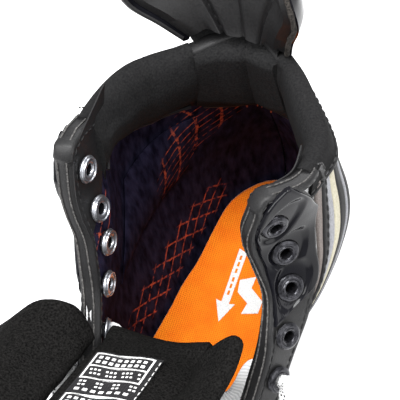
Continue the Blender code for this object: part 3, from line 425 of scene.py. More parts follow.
class Look:
    """A material built from nodes: helpers return sockets, and texture scales are per metre of the object."""

    def __init__(self, name, rough=0.5, metal=0.0, coat=0.0, sheen=0.0, shine=0.5):
        self.material = bpy.data.materials.new(name)
        self.material.use_nodes = True
        self.tree = self.material.node_tree
        self.shader = self.tree.nodes["Principled BSDF"]
        self.set("Roughness", rough)
        self.set("Metallic", metal)
        self.set("Coat Weight", coat)
        self.set("Sheen Weight", sheen)
        self.set("Specular IOR Level", shine)
        self.coords = self.tree.nodes.new("ShaderNodeTexCoord")

    def set(self, name, value):
        if isinstance(value, bpy.types.NodeSocket):
            self.tree.links.new(value, self.shader.inputs[name])
        else:
            self.shader.inputs[name].default_value = value

    def node(self, kind, inputs=(), **settings):
        made = self.tree.nodes.new(kind)
        for key, value in settings.items():
            setattr(made, key, value)
        for key, value in dict(inputs).items():
            if isinstance(value, bpy.types.NodeSocket):
                self.tree.links.new(value, made.inputs[key])
            else:
                made.inputs[key].default_value = value
        return made

    def math(self, kind, *values):
        return self.node("ShaderNodeMath", dict(enumerate(values)), operation=kind).outputs[0]

    def noise(self, scale, detail=3.0, stretch=(1, 1, 1)):
        source = self.coords.outputs["Object"]
        placed = self.node("ShaderNodeMapping", {"Vector": source, "Scale": stretch}).outputs[0]
        return self.node("ShaderNodeTexNoise", {"Vector": placed, "Scale": scale,
            "Detail": detail}).outputs[0]

    def between(self, value, low, high, out_low=0.0, out_high=1.0):
        return self.node("ShaderNodeMapRange", {0: value, 1: low, 2: high, 3: out_low,
            4: out_high}).outputs[0]

    def mix(self, factor, first, second):
        made = self.node("ShaderNodeMix", data_type="RGBA")
        for place, value in ((0, factor), (6, first), (7, second)):
            if isinstance(value, bpy.types.NodeSocket):
                self.tree.links.new(value, made.inputs[place])
            else:
                made.inputs[place].default_value = (*value, 1.0) if place else value
        return made.outputs[2]

    def uv(self):
        parts = self.node("ShaderNodeSeparateXYZ", {0: self.coords.outputs["UV"]})
        return parts.outputs[0], parts.outputs[1]

    def bump(self, height, distance=0.0003, strength=0.6):
        made = self.node("ShaderNodeBump", {"Height": height, "Distance": distance, "Strength": strength})
        self.tree.links.new(made.outputs[0], self.shader.inputs["Normal"])

    def threads(self):
        """0 to 1 over two sets of crossing threads, a weave's pitch apart."""
        u, v = self.uv()
        waves = [self.math("SINE", self.math("MULTIPLY", self.math(kind, u, v), 2 * math.pi / WEAVE_PITCH))
                 for kind in ("ADD", "SUBTRACT")]
        return self.between(self.math("MULTIPLY", *waves), -1.0, 1.0)

    def stripes(self, value, pitch, width):
        """1 on lines of this width, pitch apart, along a rising value."""
        share = self.math("FRACT", self.math("DIVIDE", value, pitch))
        return self.math("LESS_THAN", share, width / pitch)


def grained(name, dark, light, scale, rough=(0.5, 0.6), bump=0.0003, strength=0.5, detail=4.0,
    stretch=(1, 1, 1),
            **finish):
    """A surface that varies between two colours and two roughnesses over a grain of this scale."""
    look = Look(name, **finish)
    grain = look.noise(scale, detail, stretch)
    broad = look.noise(60.0, 2.0)
    look.set("Base Color", look.mix(look.between(grain, 0.3, 0.7), dark, light))
    look.set("Roughness", look.between(broad, 0.3, 0.7, *rough))
    look.bump(grain, bump, strength)
    return look.material


def woven(name, dark, light, rough):
    """Cloth of two crossing threads, in the surface's own metres."""
    look = Look(name, rough, shine=0.3)
    height = look.math("ADD", look.threads(), look.math("MULTIPLY", look.noise(900.0, 3.0), 0.6))
    look.set("Base Color", look.mix(look.between(height, 0.3, 1.1), dark, light))
    look.bump(height, 0.00025, 0.7)
    return look.material

pad_black = grained("pad_black", (0.008, 0.008, 0.0085), (0.019, 0.0188, 0.019), 1500.0, (0.82, 0.95),
    0.00012, 0.5, shine=0.05)
soft_black = grained("soft_black", (0.0035, 0.0035, 0.0038), (0.011, 0.0105, 0.011), 1500.0, (0.46, 0.62),
    0.00012, 0.5, shine=0.32)
gloss_black = grained("gloss_black", (0.002, 0.002, 0.003), (0.006, 0.006, 0.008), 70.0, (0.08, 0.16),
    0.0004, 0.08, shine=0.20)
strip_black = grained("strip_black", (0.004, 0.004, 0.0045), (0.015, 0.0145, 0.015), 2600.0, (0.42, 0.58),
    0.0001, 0.7, shine=0.35)
mesh_black = woven("mesh_black", (0.003, 0.003, 0.0035), (0.016, 0.0155, 0.017), 0.7)
felt = grained("felt", (0.001, 0.001, 0.001), (0.013, 0.0125, 0.012), 1500.0, (0.92, 1.0), 0.0008, 1.0,
    detail=9.0, shine=0.05)
shell_white = grained("shell_white", (0.60, 0.60, 0.61), (0.70, 0.70, 0.70), 420.0, (0.32, 0.46), 0.00015,
    0.35)
sole_black = grained("sole_black", (0.010, 0.010, 0.010), (0.035, 0.034, 0.034), 800.0, (0.45, 0.65), 0.0002,
    0.6)
holder_white = grained("holder_white", (0.54, 0.55, 0.57), (0.62, 0.63, 0.65), 180.0, (0.25, 0.36), 0.0001,
    0.25)
steel = grained("steel", (0.42, 0.43, 0.45), (0.66, 0.67, 0.69), 900.0, (0.16, 0.3), 0.00004, 0.3, metal=1.0,
    stretch=(1, 0.04, 1))
rivet_steel = grained("rivet_steel", (0.36, 0.35, 0.33), (0.62, 0.61, 0.58), 1300.0, (0.2, 0.36), 0.00004,
    0.3, metal=1.0)
eyelet_black = grained("eyelet_black", (0.010, 0.010, 0.012), (0.045, 0.045, 0.052), 1400.0, (0.18, 0.32),
    0.00004, 0.3, metal=0.7)
eyelet_silver = grained("eyelet_silver", (0.26, 0.27, 0.30), (0.52, 0.53, 0.56), 1200.0, (0.24, 0.38),
    0.00005, 0.4, metal=0.9)
silver_band = grained("silver_band", (0.17, 0.172, 0.185), (0.27, 0.272, 0.29), 1700.0, (0.34, 0.46),
    0.00012, 0.6, metal=0.2, shine=0.35)
cream_band = grained("cream_band", (0.34, 0.315, 0.235), (0.46, 0.43, 0.33), 1500.0, (0.5, 0.62), 0.00015,
    0.6, shine=0.3)
taupe_panel = grained("taupe_panel", (0.10, 0.084, 0.076), (0.185, 0.158, 0.145), 2000.0, (0.5, 0.7), 0.0002,
    0.6)
foam_edge = grained("foam_edge", (0.004, 0.004, 0.004), (0.13, 0.125, 0.12), 1500.0, (0.85, 1.0), 0.0005,
    0.9, detail=7.0)
frayed = grained("frayed", (0.006, 0.0055, 0.005), (0.050, 0.044, 0.039), 1300.0, (0.85, 1.0), 0.0008, 1.0,
    detail=9.0, shine=0.2)
thread_grey = grained("thread_grey", (0.008, 0.008, 0.009), (0.034, 0.034, 0.034), 5000.0, (0.5, 0.7),
    0.0001, 0.6, shine=0.3)
thread_white = grained("thread_white", (0.55, 0.55, 0.54), (0.74, 0.74, 0.72), 5000.0, (0.5, 0.7), 0.0001,
    0.6)
thread_red = grained("thread_red", (0.30, 0.04, 0.015), (0.50, 0.08, 0.03), 4000.0, (0.5, 0.7), 0.0001, 0.6)
print_white = grained("print_white", (0.62, 0.62, 0.61), (0.86, 0.86, 0.85), 2500.0, (0.5, 0.62), 0.00008,
    0.5)
board_brown = grained("board_brown", (0.16, 0.10, 0.06), (0.27, 0.18, 0.11), 500.0, (0.75, 0.9), 0.0003, 0.6)


def orange_cloth():
    look = Look("orange_cloth", 0.85, sheen=0.15, shine=0.2)
    thread = look.threads()
    broad = look.noise(130.0, 4.0)
    base = look.mix(look.between(broad, 0.3, 0.7), (0.95, 0.185, 0.003), (1.0, 0.27, 0.006))
    look.set("Base Color", look.mix(look.between(thread, 0.0, 0.6), (0.72, 0.115, 0.002), base))
    look.bump(look.math("ADD", thread, look.math("MULTIPLY", broad, 0.5)), 0.0003, 0.7)
    return look.material


def liner_cloth():
    """Dark brushed cloth, printed in three places with fine crossing lines, in metres along and up the wall."""
    look = Look("liner_cloth", 0.9, shine=0.03)
    u, v = look.uv()
    wobble = look.math("MULTIPLY", look.math("SUBTRACT", look.noise(420.0, 2.0), 0.5), 0.0016)
    shifted = look.math("ADD", u, wobble)
    rise = look.math("MULTIPLY", v, 1.35)
    lines = look.math("MAXIMUM", *(look.stripes(look.math(kind, shifted, rise), LINER_LINE_PITCH,
        LINER_LINE_WIDTH)
                                   for kind in ("ADD", "SUBTRACT")))
    worn = look.between(look.noise(520.0, 4.0), 0.38, 0.60)
    mask = None
    for centre_u, centre_v, half_u, half_v, slant in LINER_PRINTS:
        du = look.math("SUBTRACT", u, centre_u)
        dv = look.math("ADD", look.math("SUBTRACT", v, centre_v), look.math("MULTIPLY", du, slant))
        x = look.math("POWER", look.math("DIVIDE", du, half_u), 4.0)
        y = look.math("POWER", look.math("DIVIDE", dv, half_v), 4.0)
        inside = look.between(look.math("ADD", x, y), 0.7, 1.5, 1.0, 0.0)
        mask = inside if mask is None else look.math("MAXIMUM", mask, inside)
    ink = look.math("MULTIPLY", look.math("MULTIPLY", lines, mask), look.math("MULTIPLY", worn, 0.85))
    brushed = look.noise(380.0, 6.0, (1.0, 1.0, 0.35))
    base = look.mix(look.between(brushed, 0.32, 0.68), (0.0035, 0.0030, 0.0085), (0.024, 0.021, 0.046))
    look.set("Base Color", look.mix(ink, base, (0.60, 0.11, 0.05)))
    look.bump(look.math("ADD", brushed, look.math("MULTIPLY", look.noise(2200.0, 3.0), 0.6)), 0.0003, 0.7)
    return look.material


def lace_cloth():
    """Flat white braid with two dotted dark threads; across runs -1..1 over its width, v along it in metres."""
    look = Look("lace_cloth", 0.8, sheen=0.1, shine=0.3)
    across, along = look.uv()
    dots = None
    for middle, shift in ((0.50, 0.0), (0.72, 0.5)):
        near = look.math("ABSOLUTE", look.math("SUBTRACT", look.math("ABSOLUTE", across), middle))
        share = look.math("FRACT", look.math("ADD", look.math("DIVIDE", along, LACE_DOT_PITCH), shift))
        row = look.math("MULTIPLY", look.math("LESS_THAN", near, 0.07), look.math("LESS_THAN", share, 0.45))
        dots = row if dots is None else look.math("MAXIMUM", dots, row)
    dots = look.math("MULTIPLY", dots, look.math("GREATER_THAN", across, 0.0))
    slanted = look.math("ADD", look.math("ABSOLUTE", across), look.math("DIVIDE", along, LACE_RIB_PITCH))
    rib = look.math("SINE", look.math("MULTIPLY", slanted, 2 * math.pi))
    base = look.mix(look.between(rib, -1.0, 1.0), (0.56, 0.56, 0.56), (0.76, 0.76, 0.76))
    look.set("Base Color", look.mix(dots, base, (0.012, 0.012, 0.014)))
    look.bump(rib, 0.00015, 0.6)
    return look.material


orange = orange_cloth()
liner_look = liner_cloth()
lace_look = lace_cloth()


def repaint(names, look):
    for name in names:
        node = bpy.data.objects[name]
        node.data.materials.clear()
        node.data.materials.append(look)


# ---------------------------------------------------------------- camera, light and floor
SENSOR_WIDTH, LENS = 36.0, 122.78  # millimetres
CAMERA_PLACE = (0.1170, -0.20486, 0.5116)
CAMERA_AXES = (  # right, up and back
    (0.9469, 0.2975, -0.1217),
    (-0.172, 0.7888, 0.5901),
    (0.2715, -0.5378, 0.7981),
)
LIGHT_AIM = (0.0, 0.02, 0.12)
LIGHTS = (  # name, place, size and power
    ("key", (-0.45, -0.55, 0.85), 0.6, 10.0),
    ("fill", (0.75, -0.25, 0.55), 0.7, 4.5),
    ("rim", (0.1, 0.8, 0.7), 0.6, 4.5),
    ("top", (0.05, -0.12, 1.1), 0.5, 15.0),
)
SKY_COLOUR, SKY_STRENGTH = (0.97, 0.98, 1.0, 1.0), 0.62
FLOOR_HALF = 3.0
FLOOR_DROP = 0.0003  # keeps the floor clear of the runner's face


def camera():
    data = bpy.data.cameras.new("camera")
    data.sensor_width = SENSOR_WIDTH
    data.lens = LENS
    data.clip_start = 0.01
    made = bpy.data.objects.new("camera", data)
    bpy.context.scene.collection.objects.link(made)
    placed = Matrix(CAMERA_AXES).transposed().to_4x4()
    placed.translation = CAMERA_PLACE
    made.matrix_world = placed
    bpy.context.scene.camera = made


def studio():
    world = bpy.data.worlds.new("studio")
    bpy.context.scene.world = world
    world.use_nodes = True
    back = world.node_tree.nodes["Background"]
    back.inputs["Color"].default_value = SKY_COLOUR
    back.inputs["Strength"].default_value = SKY_STRENGTH
    for name, place, size, power in LIGHTS:
        data = bpy.data.lights.new(name, "AREA")
        data.size = size
        data.energy = power
        light = bpy.data.objects.new(name, data)
        bpy.context.scene.collection.objects.link(light)
        light.location = place
        aim = Vector(LIGHT_AIM) - Vector(place)
        light.rotation_euler = aim.to_track_quat("-Z", "Y").to_euler()
    floor_look = grained("floor_pale", (0.86, 0.86, 0.86), (0.90, 0.90, 0.90), 6.0, (0.6, 0.7), 0.0001, 0.1)
    mesh = bpy.data.meshes.new("floor")
    corners = ((-1, -1), (1, -1), (1, 1), (-1, 1))
    mesh.from_pydata([(x * FLOOR_HALF, y * FLOOR_HALF, 0) for x, y in corners], [], [(0, 1, 2, 3)])
    mesh.materials.append(floor_look)
    floor = bpy.data.objects.new("floor", mesh)
    floor.location.z = -FLOOR_DROP
    bpy.context.scene.collection.objects.link(floor)
    bpy.context.scene.view_settings.view_transform = "Standard"


camera()
studio()

# ---------------------------------------------------------------- lace
EYELET_PLACES = {
    side: [(skin(side, z, -EYELET_DEPTH, distance=s), skin_normal(side, z, s)) for z, s in EYELETS[side]]
    for side, _ in SIDES
}
LACE_WIDTH = 6.4
LACE_THICK = 1.15
LACE_OUTSIDE, LACE_INSIDE = 6.6, 7.6  # how far the lace's bends stand off an eyelet's middle
LACE_PAIRS = (7, 6, 5, 4)  # pairs of eyelets that are laced, from the bottom one up


def ribbon(name, path, ups, widths):
    """Flat braid along a path; ups are its face's directions and widths its width at each point."""
    path = np.asarray(path, float)
    tangents = unit(np.gradient(path, axis=0))
    ups = np.asarray(ups, float)
    ups = unit(across_to(ups, tangents))
    across = np.cross(tangents, ups)
    run = run_along(path) * MM
    shape = [(-1.0, 0.0), (-0.93, 0.36), (-0.5, 0.5), (0.0, 0.47), (0.5, 0.5), (0.93, 0.36), (1.0, 0.0)]
    shape += [(x, -y) for x, y in shape[-2:0:-1]]
    shape = np.array(shape)
    widths = np.asarray(widths, float)
    thicks = LACE_THICK * np.sqrt(LACE_WIDTH / widths)
    rings = (path[:, None] + across[:, None] * (shape[None, :, :1] * widths[:, None, None] / 2)
             + ups[:, None] * (shape[None, :, 1:] * thicks[:, None, None]))
    uv = np.stack(np.broadcast_arrays(shape[None, :, 0], run[:, None]), axis=-1).reshape(-1, 2)
    return piece(name, swept(rings), lace_look, uv=uv, sharp=70)


def smoothed(values, rounds):
    values = np.asarray(values, float)
    for _ in range(rounds):
        values = np.concatenate([values[:1], (values[:-2] + 2 * values[1:-1] + values[2:]) / 4, values[-1:]])
    return values


def lace_strand(start_side):
    """One strand from the bottom eyelet up to the fifth, crossing the throat between the pairs."""
    points = []
    side = start_side
    for number in LACE_PAIRS:
        centre, axis = EYELET_PLACES[side][number]
        points += [centre - axis * LACE_INSIDE, centre, centre + axis * LACE_OUTSIDE]
        if number == LACE_PAIRS[-1]:
            break
        target = EYELET_PLACES[-side][number - 1][0]
        over_edge = skin(side, centre[2] + 2.0, 7.8, distance=-0.5)
        under_edge = skin(-side, target[2] - 2.5, -8.8, distance=1.0)
        middle = (over_edge + under_edge) / 2
        middle[2] += 1.9 * start_side
        points += [over_edge, middle, under_edge]
        side = -side
    return points


def lay_laced():
    first, second = lace_strand(LATERAL), lace_strand(MEDIAL)
    bar = [first[0] + (second[0] - first[0]) * share + (0, 0, -1.0) for share in (0.15, 0.5, 0.85)]
    path = smooth_path(second[::-1] + bar[::-1] + first, 620)
    tangents = unit(np.gradient(path, axis=0))
    face = np.array((0.0, -0.60, 0.80))
    ups = face - tangents * (tangents @ face)[:, None]
    ups = smoothed(ups, 30)
    holes = np.array([EYELET_PLACES[side][n][0] for side, _ in SIDES for n in LACE_PAIRS])
    near = np.min(np.linalg.norm(path[:, None] - holes[None], axis=2), axis=1)
    widths = smoothed(np.interp(near, (3.0, 8.0), (3.3, LACE_WIDTH)), 6)
    made = ribbon("lace_through_eyelets", path, ups, widths)
    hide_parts("lace_laced")


LACE_ROUTE = {
    LATERAL: ((41.5, -18.0, 137.0), (47.0, -20.5, 133.0), (49.5, -21.5, 120.0), (50.5, -22.0, 95.0),
        (50.5, -22.5, 60.0),
              (49.5, -24.0, 30.0), (46.5, -28.0, 13.0), (42.0, -36.0, 6.0), (38.0, -46.0, 3.6),
              (35.5, -53.0, 3.5)),
    MEDIAL: ((41.0, -20.5, 137.0), (46.5, -23.5, 133.0), (49.8, -25.0, 120.0), (51.0, -25.5, 95.0),
        (51.0, -26.0, 60.0),
             (50.0, -27.0, 30.0), (46.5, -31.0, 13.0), (42.0, -38.5, 6.0), (38.0, -47.0, 3.6),
             (35.5, -53.0, 3.5)),
}
HANK_X, NEAR_ARC_Y, FAR_ARC_Y = 35.0, -74.0, -150.0


def hank_route():
    """Two inward turns standing on edge, then over the outer turn to the tip, for the side at +X."""
    points = [(38.5, -57.0, 3.5), (46.0, -63.5, 3.5)]
    half = 15.8
    for turn in range(2):
        points += [(HANK_X + half, y, 3.5) for y in (-76.0, -100.0, -125.0, FAR_ARC_Y)]
        for angle in (45, 90, 135):
            a = math.radians(angle)
            points.append((HANK_X + half * math.cos(a), FAR_ARC_Y - half * math.sin(a), 3.5))
        if turn == 0:
            points += [(HANK_X - half, y, 3.5) for y in (FAR_ARC_Y, -125.0, -100.0, NEAR_ARC_Y)]
            tighter = 11.0
            for angle in (135, 90, 45):
                a = math.radians(angle)
                r = half + (tighter - half) * (180 - angle) / 180
                points.append((HANK_X + r * math.cos(a), NEAR_ARC_Y + r * math.sin(a), 3.5))
            half = tighter
    points += [(HANK_X - half, FAR_ARC_Y, 3.6), (23.5, -143.0, 4.6), (21.8, -134.0, 8.4),
        (18.8, -127.0, 8.9), (15.6, -120.0, 7.0),
               (14.2, -114.0, 3.4), (14.0, -110.6, 1.9)]
    return points


def lay_free_end(side, name):
    centre, axis = EYELET_PLACES[side][LACE_PAIRS[-1]]
    route = [centre + axis * LACE_OUTSIDE] + [np.array((side * x, y, z)) for x, y,
        z in LACE_ROUTE[side] + tuple(hank_route())]
    path = smooth_path(route, 900)
    path[:, 2] = np.maximum(path[:, 2], 0.8)
    ups = frames(path, (0.0, -0.3, 0.95))[0]
    run = run_along(path)
    left = run[-1] - run
    on_floor = np.clip((run - 150.0) / 40.0, 0, 1)[:, None]
    tangents = unit(np.gradient(path, axis=0))
    standing = np.cross(tangents, (0.0, 0.0, 1.0)) * -side
    keep = np.sign(np.sum(standing * ups, axis=1))
    standing *= np.where(keep == 0, 1, keep)[:, None]
    ups = ups * (1 - on_floor) + standing * on_floor
    lying = np.clip((46.0 - left) / 14.0, 0, 1)[:, None]
    ups = ups * (1 - lying) + np.array((0.0, 0.0, 1.0)) * lying
    ups = smoothed(ups, 12)
    widths = np.interp(left, (0.0, 3.0, 12.0), (2.2, 2.6, LACE_WIDTH)) * np.interp(run, (0.0, 6.0),
        (0.62, 1.0))
    made = ribbon(f"lace_free_{name}", path, ups, widths)
    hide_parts(f"lace_end_{name}", f"lace_hank_{name}")


lay_laced()
for side, name in SIDES:
    lay_free_end(side, name)

# ---------------------------------------------------------------- linings
def wall_panel(side, z, part, outer, inner):
    """A closed sheet of the wall over grids of height and part, with its own metres."""
    shape = panel(skin(side, z, outer, part=part), skin(side, z, inner, part=part))
    return shape, sheet_metres(part * np.interp(z, ROWS, WALL[side][1]), z)


def ripples(a, b, seed, size=1.0):
    """Soft uneven relief over two coordinates, the same on every run."""
    rng = np.random.default_rng(seed)
    total = np.zeros(np.broadcast(a, b).shape)
    for _ in range(7):
        fa, fb = rng.uniform(0.4, 2.4, 2)
        total += np.sin(a * fa * 6.28 + rng.uniform(0, 6.28)) * np.sin(b * fb * 6.28 + rng.uniform(0, 6.28))
    return size * total / 7


def make_liner(side, name):
    first = PAD_SPAN[side][0]
    part = np.linspace(0.0, 0.998, 96)
    low = np.array([sole_z(y) for y in skin(side, 60.0, part=part)[..., 1]]) + BOARD_THICK + 2 * GAP
    rim = height_on(side, part, RIM[side]) - 0.6
    pad = height_on(side, part, PAD_LINE[side]) + 6.0
    top = np.where(part < first - 0.02, rim, np.minimum(rim, pad))
    rise = np.linspace(0, 1, 60)[:, None]
    z = low + (top - low) * rise
    parts = np.broadcast_to(part, z.shape)
    relief = ripples(parts * 2.0, rise * 1.5, 3 + side, 0.30)
    shape, uv = wall_panel(side, z, parts, LINER_OUTER, LINER_INNER + relief * np.sin(np.pi * rise))
    made = piece(f"{name}_lining_cloth", shape, liner_look, uv=uv)
    cut_round(made, EYELET_PLACES[side], CLOTH_HOLE_R)
    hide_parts(f"{name}_liner")
    return made


def make_ankle_cloth(side, name):
    """Foam lump under the lining on each side of the ankle, covered with the same cloth."""
    u, v = np.meshgrid(np.linspace(0, 1, 36), np.linspace(0, 1, 26))
    part, z = 0.42 + 0.34 * u, 112.0 + 30.0 * v
    swell = (np.sin(np.pi * u) * np.sin(np.pi * v)) ** 0.6
    shape, uv = wall_panel(side, z, part, -4.9, -5.2 - 2.4 * swell)
    made = piece(f"{name}_ankle_foam", shape, liner_look, uv=uv)
    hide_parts(f"{name}_ankle_pad")


def pad_section(rim, low, swell, over):
    """Cross-section of a collar pad, as (depth, height), from its outside hem over the rim and down inside."""
    mid = low + (rim - low) * 0.45
    return np.array([
        (0.3, rim - over), (0.9, rim - over - 0.2), (1.25, rim - over * 0.5), (1.2, rim - 0.8),
        (0.5, rim + 0.9),
        (-1.6, rim + 1.6), (-4.2, rim + 1.2), (-6.6 * swell - 0.6, rim - 1.2),
        (-8.9 * swell - 0.8, rim - 7.0),
        (-9.8 * swell - 0.8, mid + 3.0), (-8.6 * swell - 0.8, (mid + low) / 2),
        (-6.2 * swell - 0.6, low + 2.4),
        (-4.7, low), (-3.3, low + 0.4), (-3.3, mid), (-3.3, rim - 3.0), (-2.3, rim + 0.3), (-0.8, rim + 0.35),
        (0.3, rim + 0.2), (0.3, rim - over * 0.4),
    ])


def closed_curve(points, count):
    """Evenly spaced points round a smooth closed curve."""
    points = np.asarray(points, float)
    wrapped = np.concatenate([points[-3:], points, points[:3]])
    knots = np.arange(len(wrapped), dtype=float)
    fine = hermite(knots, wrapped, np.linspace(3, 3 + len(points), 14 * len(points)))
    return evenly(fine, count, False)


PAD_STATIONS, PAD_RING = 84, 44
PAD_SIZE = (0.17, 0.08)  # metres along and round it
PAD_TURN_DOWN = 9.0  # how far the pad's outer hem lies below the rim


def make_collar_pad(side, name):
    first, last = PAD_SPAN[side]
    parts = np.linspace(first - 0.006, PILLOW_ENDS[side] + 0.002, PAD_STATIONS)
    rims = height_on(side, parts, RIM[side])
    lows = height_on(side, parts, PAD_LINE[side])
    rings, uvs = [], []
    for k, part in enumerate(parts):
        share = (part - first) / (last - first)
        ends = math.sin(math.pi * min(max(share, 0.02), 0.98)) ** 0.28
        section = closed_curve(pad_section(rims[k], lows[k], 0.25 + 0.75 * ends, PAD_TURN_DOWN), PAD_RING)
        wave = ripples(np.full(PAD_RING, share * 2.2), np.linspace(0, 1, PAD_RING), 11 + side, 0.55)
        section[:, 0] += np.where(section[:, 0] < -4.6, wave, 0.0)
        rings.append(skin(side, section[:, 1], section[:, 0], part=np.full(PAD_RING, part)))
        uvs += [(part * PAD_SIZE[0], h * PAD_SIZE[1]) for h in np.linspace(0, 1, PAD_RING)]
    made = piece(f"{name}_collar_roll", swept(rings), pad_black, uv=uvs, sharp=70)
    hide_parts(f"{name}_collar_pad")
    hem = [skin(side, r - 8.6, 1.15, part=p) for p, r in zip(parts, rims)]
    piece(f"{name}_collar_piping", joined(bead(hem, 0.45),
        stitches(np.array(hem) + (0, 0, 1.9), radius=0.3)), thread_grey)
    seam = [skin(side, l + 1.2, -5.6, part=p) for p, l in zip(parts[3:-3], lows[3:-3])]
    piece(f"{name}_collar_inner_cord", bead(seam, 0.6), mesh_black)


PILLOW_COLUMNS, PILLOW_ROWS = 84, 40
PILLOW_SMOOTHING = 70
PILLOW_GROOVE = 0.15  # share of its width at which its fold lies
TACK_COLUMNS = (30, 42, 54, 66)


def make_achilles():
    lateral_end, medial_end = PILLOW_ENDS[LATERAL] - 1.0, 1.0 - PILLOW_ENDS[MEDIAL]
    spread = np.linspace(lateral_end, medial_end, PILLOW_COLUMNS)
    rise = np.linspace(0, 1, PILLOW_ROWS)
    front, back, uv = [], [], []
    for s in spread:
        side = LATERAL if s < 0 else MEDIAL
        part = 1.0 - abs(s)
        low = float(height_on(side, np.array([part]), PAD_LINE[side])[0])
        top = RIM[LATERAL][-1][1] - 0.6
        share = (s - lateral_end) / (medial_end - lateral_end)
        z = low + (top - low) * rise
        edge = math.sin(math.pi * min(max(share, 0.01), 0.99)) ** 0.35
        body = np.minimum(rise / 0.22, 1.0) ** 0.5 * np.minimum((1 - rise) / 0.10 + 0.35, 1.0) ** 0.5
        groove = 5.0 * np.exp(-((share - PILLOW_GROOVE) / 0.03) ** 2)
        depth = LINER_OUTER - 1.4 - 8.0 * body * edge + groove * body
        depth = depth + ripples(np.full(PILLOW_ROWS, share * 1.2), rise * 0.8, 21, 0.35)
        parts = np.full(PILLOW_ROWS, part)
        front.append(skin(side, z, depth, part=parts))
        back.append(skin(side, z, LINER_OUTER, part=parts))
        uv.append(np.stack([np.full(PILLOW_ROWS, s * 0.34), z * MM], axis=1))
    front = np.array(front)
    for _ in range(PILLOW_SMOOTHING):
        front[1:-1] = (front[:-2] + 2 * front[1:-1] + front[2:]) / 4
    uv = np.concatenate(uv)
    made = piece("achilles_pillow", panel(front, np.array(back)), pad_black, uv=np.concatenate([uv, uv]))
    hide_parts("achilles_pad")
    ticks = []
    for k in TACK_COLUMNS:
        foot = front[k, 3] + (0.0, -0.9, 0.2)
        ticks.append(bead([foot, foot + (0.3, -0.4, 2.2)], 0.32, sides=6))
    piece("achilles_bar_tacks", joined(*ticks), thread_red)
    piece("achilles_piping", bead(front[4:-4, 1] + (0, -0.2, 0), 0.5), strip_black)


HEEL_TAPE = np.array([  # its section, as (depth, height over the rim)
    (0.3, -5.0), (0.8, -4.8), (0.8, -0.5), (0.2, 0.25), (-3.6, 0.3), (-4.4, -0.3), (-4.4, -3.0), (-3.3, -3.0),
    (-3.3, 0.05), (0.3, 0.05),
])


def make_heel_binding():
    """Folded tape over the rear rim, between the two collar pads."""
    rings = []
    for s in np.linspace(-0.27, 0.24, 70):
        side = LATERAL if s < 0 else MEDIAL
        rim = float(height_on(side, np.array([1.0 - abs(s)]), RIM[side])[0])
        rings.append(skin(side, rim + HEEL_TAPE[:, 1], HEEL_TAPE[:, 0],
            part=np.full(len(HEEL_TAPE), 1.0 - abs(s))))
    piece("heel_rim_binding", swept(rings), strip_black, sharp=60)


for side, name in SIDES:
    make_liner(side, name)
    make_ankle_cloth(side, name)
    make_collar_pad(side, name)
make_achilles()
make_heel_binding()


# ---------------------------------------------------------------- tendon guard
GUARD_LEVELS = (
    (178.2, -1.6, 18.6, 93.6, 79.6),
    (188.0, -3.8, 23.0, 96.0, 76.5),
    (198.0, -6.6, 29.0, 99.5, 74.0),
    (208.0, -9.0, 29.5, 103.5, 75.5),
    (217.0, -10.8, 25.0, 107.0, 84.0),
    (224.0, -12.0, 16.0, 110.0, 96.0),
)
GUARD_SIZE = (0.07, 0.046)  # metres round it and up it


GUARD_RIBS = (0.22, 0.42, 0.62)
GUARD_CHANNELS = (  # place, width, depth and tilt
    (0.30, 0.022, 2.0, 0.16),
    (0.52, 0.02, 1.5, 0.03),
    (0.80, 0.026, 2.0, -0.12),
)


def guard_point(u, v, depth):
    """Points of the guard: u runs round it from lateral to medial, v up it."""
    knots = np.array([row[0] for row in GUARD_LEVELS])
    u, v, depth = np.broadcast_arrays(u, v, depth)
    shape = u.shape
    u, v, depth = u.ravel(), v.ravel(), depth.ravel()

    def ring(height, turn):
        middle, half, back, edge = hermite(knots, [row[1:] for row in GUARD_LEVELS], height).T
        angle = np.pi * (turn - 0.5)
        x = middle + half * np.copysign(np.abs(np.sin(angle)) ** 0.92, np.sin(angle))
        y = edge + (back - edge) * np.maximum(np.cos(angle), 0.0) ** 0.8
        return np.stack([x, y, height], axis=1)

    z = knots[0] + (knots[-1] - knots[0]) * v
    along = ring(z, np.minimum(u + 0.02, 1)) - ring(z, np.maximum(u - 0.02, 0))
    upward = ring(np.minimum(z + 1, knots[-1]), u) - ring(np.maximum(z - 1, knots[0]), u)
    normal = unit(np.cross(upward, along))
    return (ring(z, u) + depth[:, None] * normal).reshape(*shape, 3)


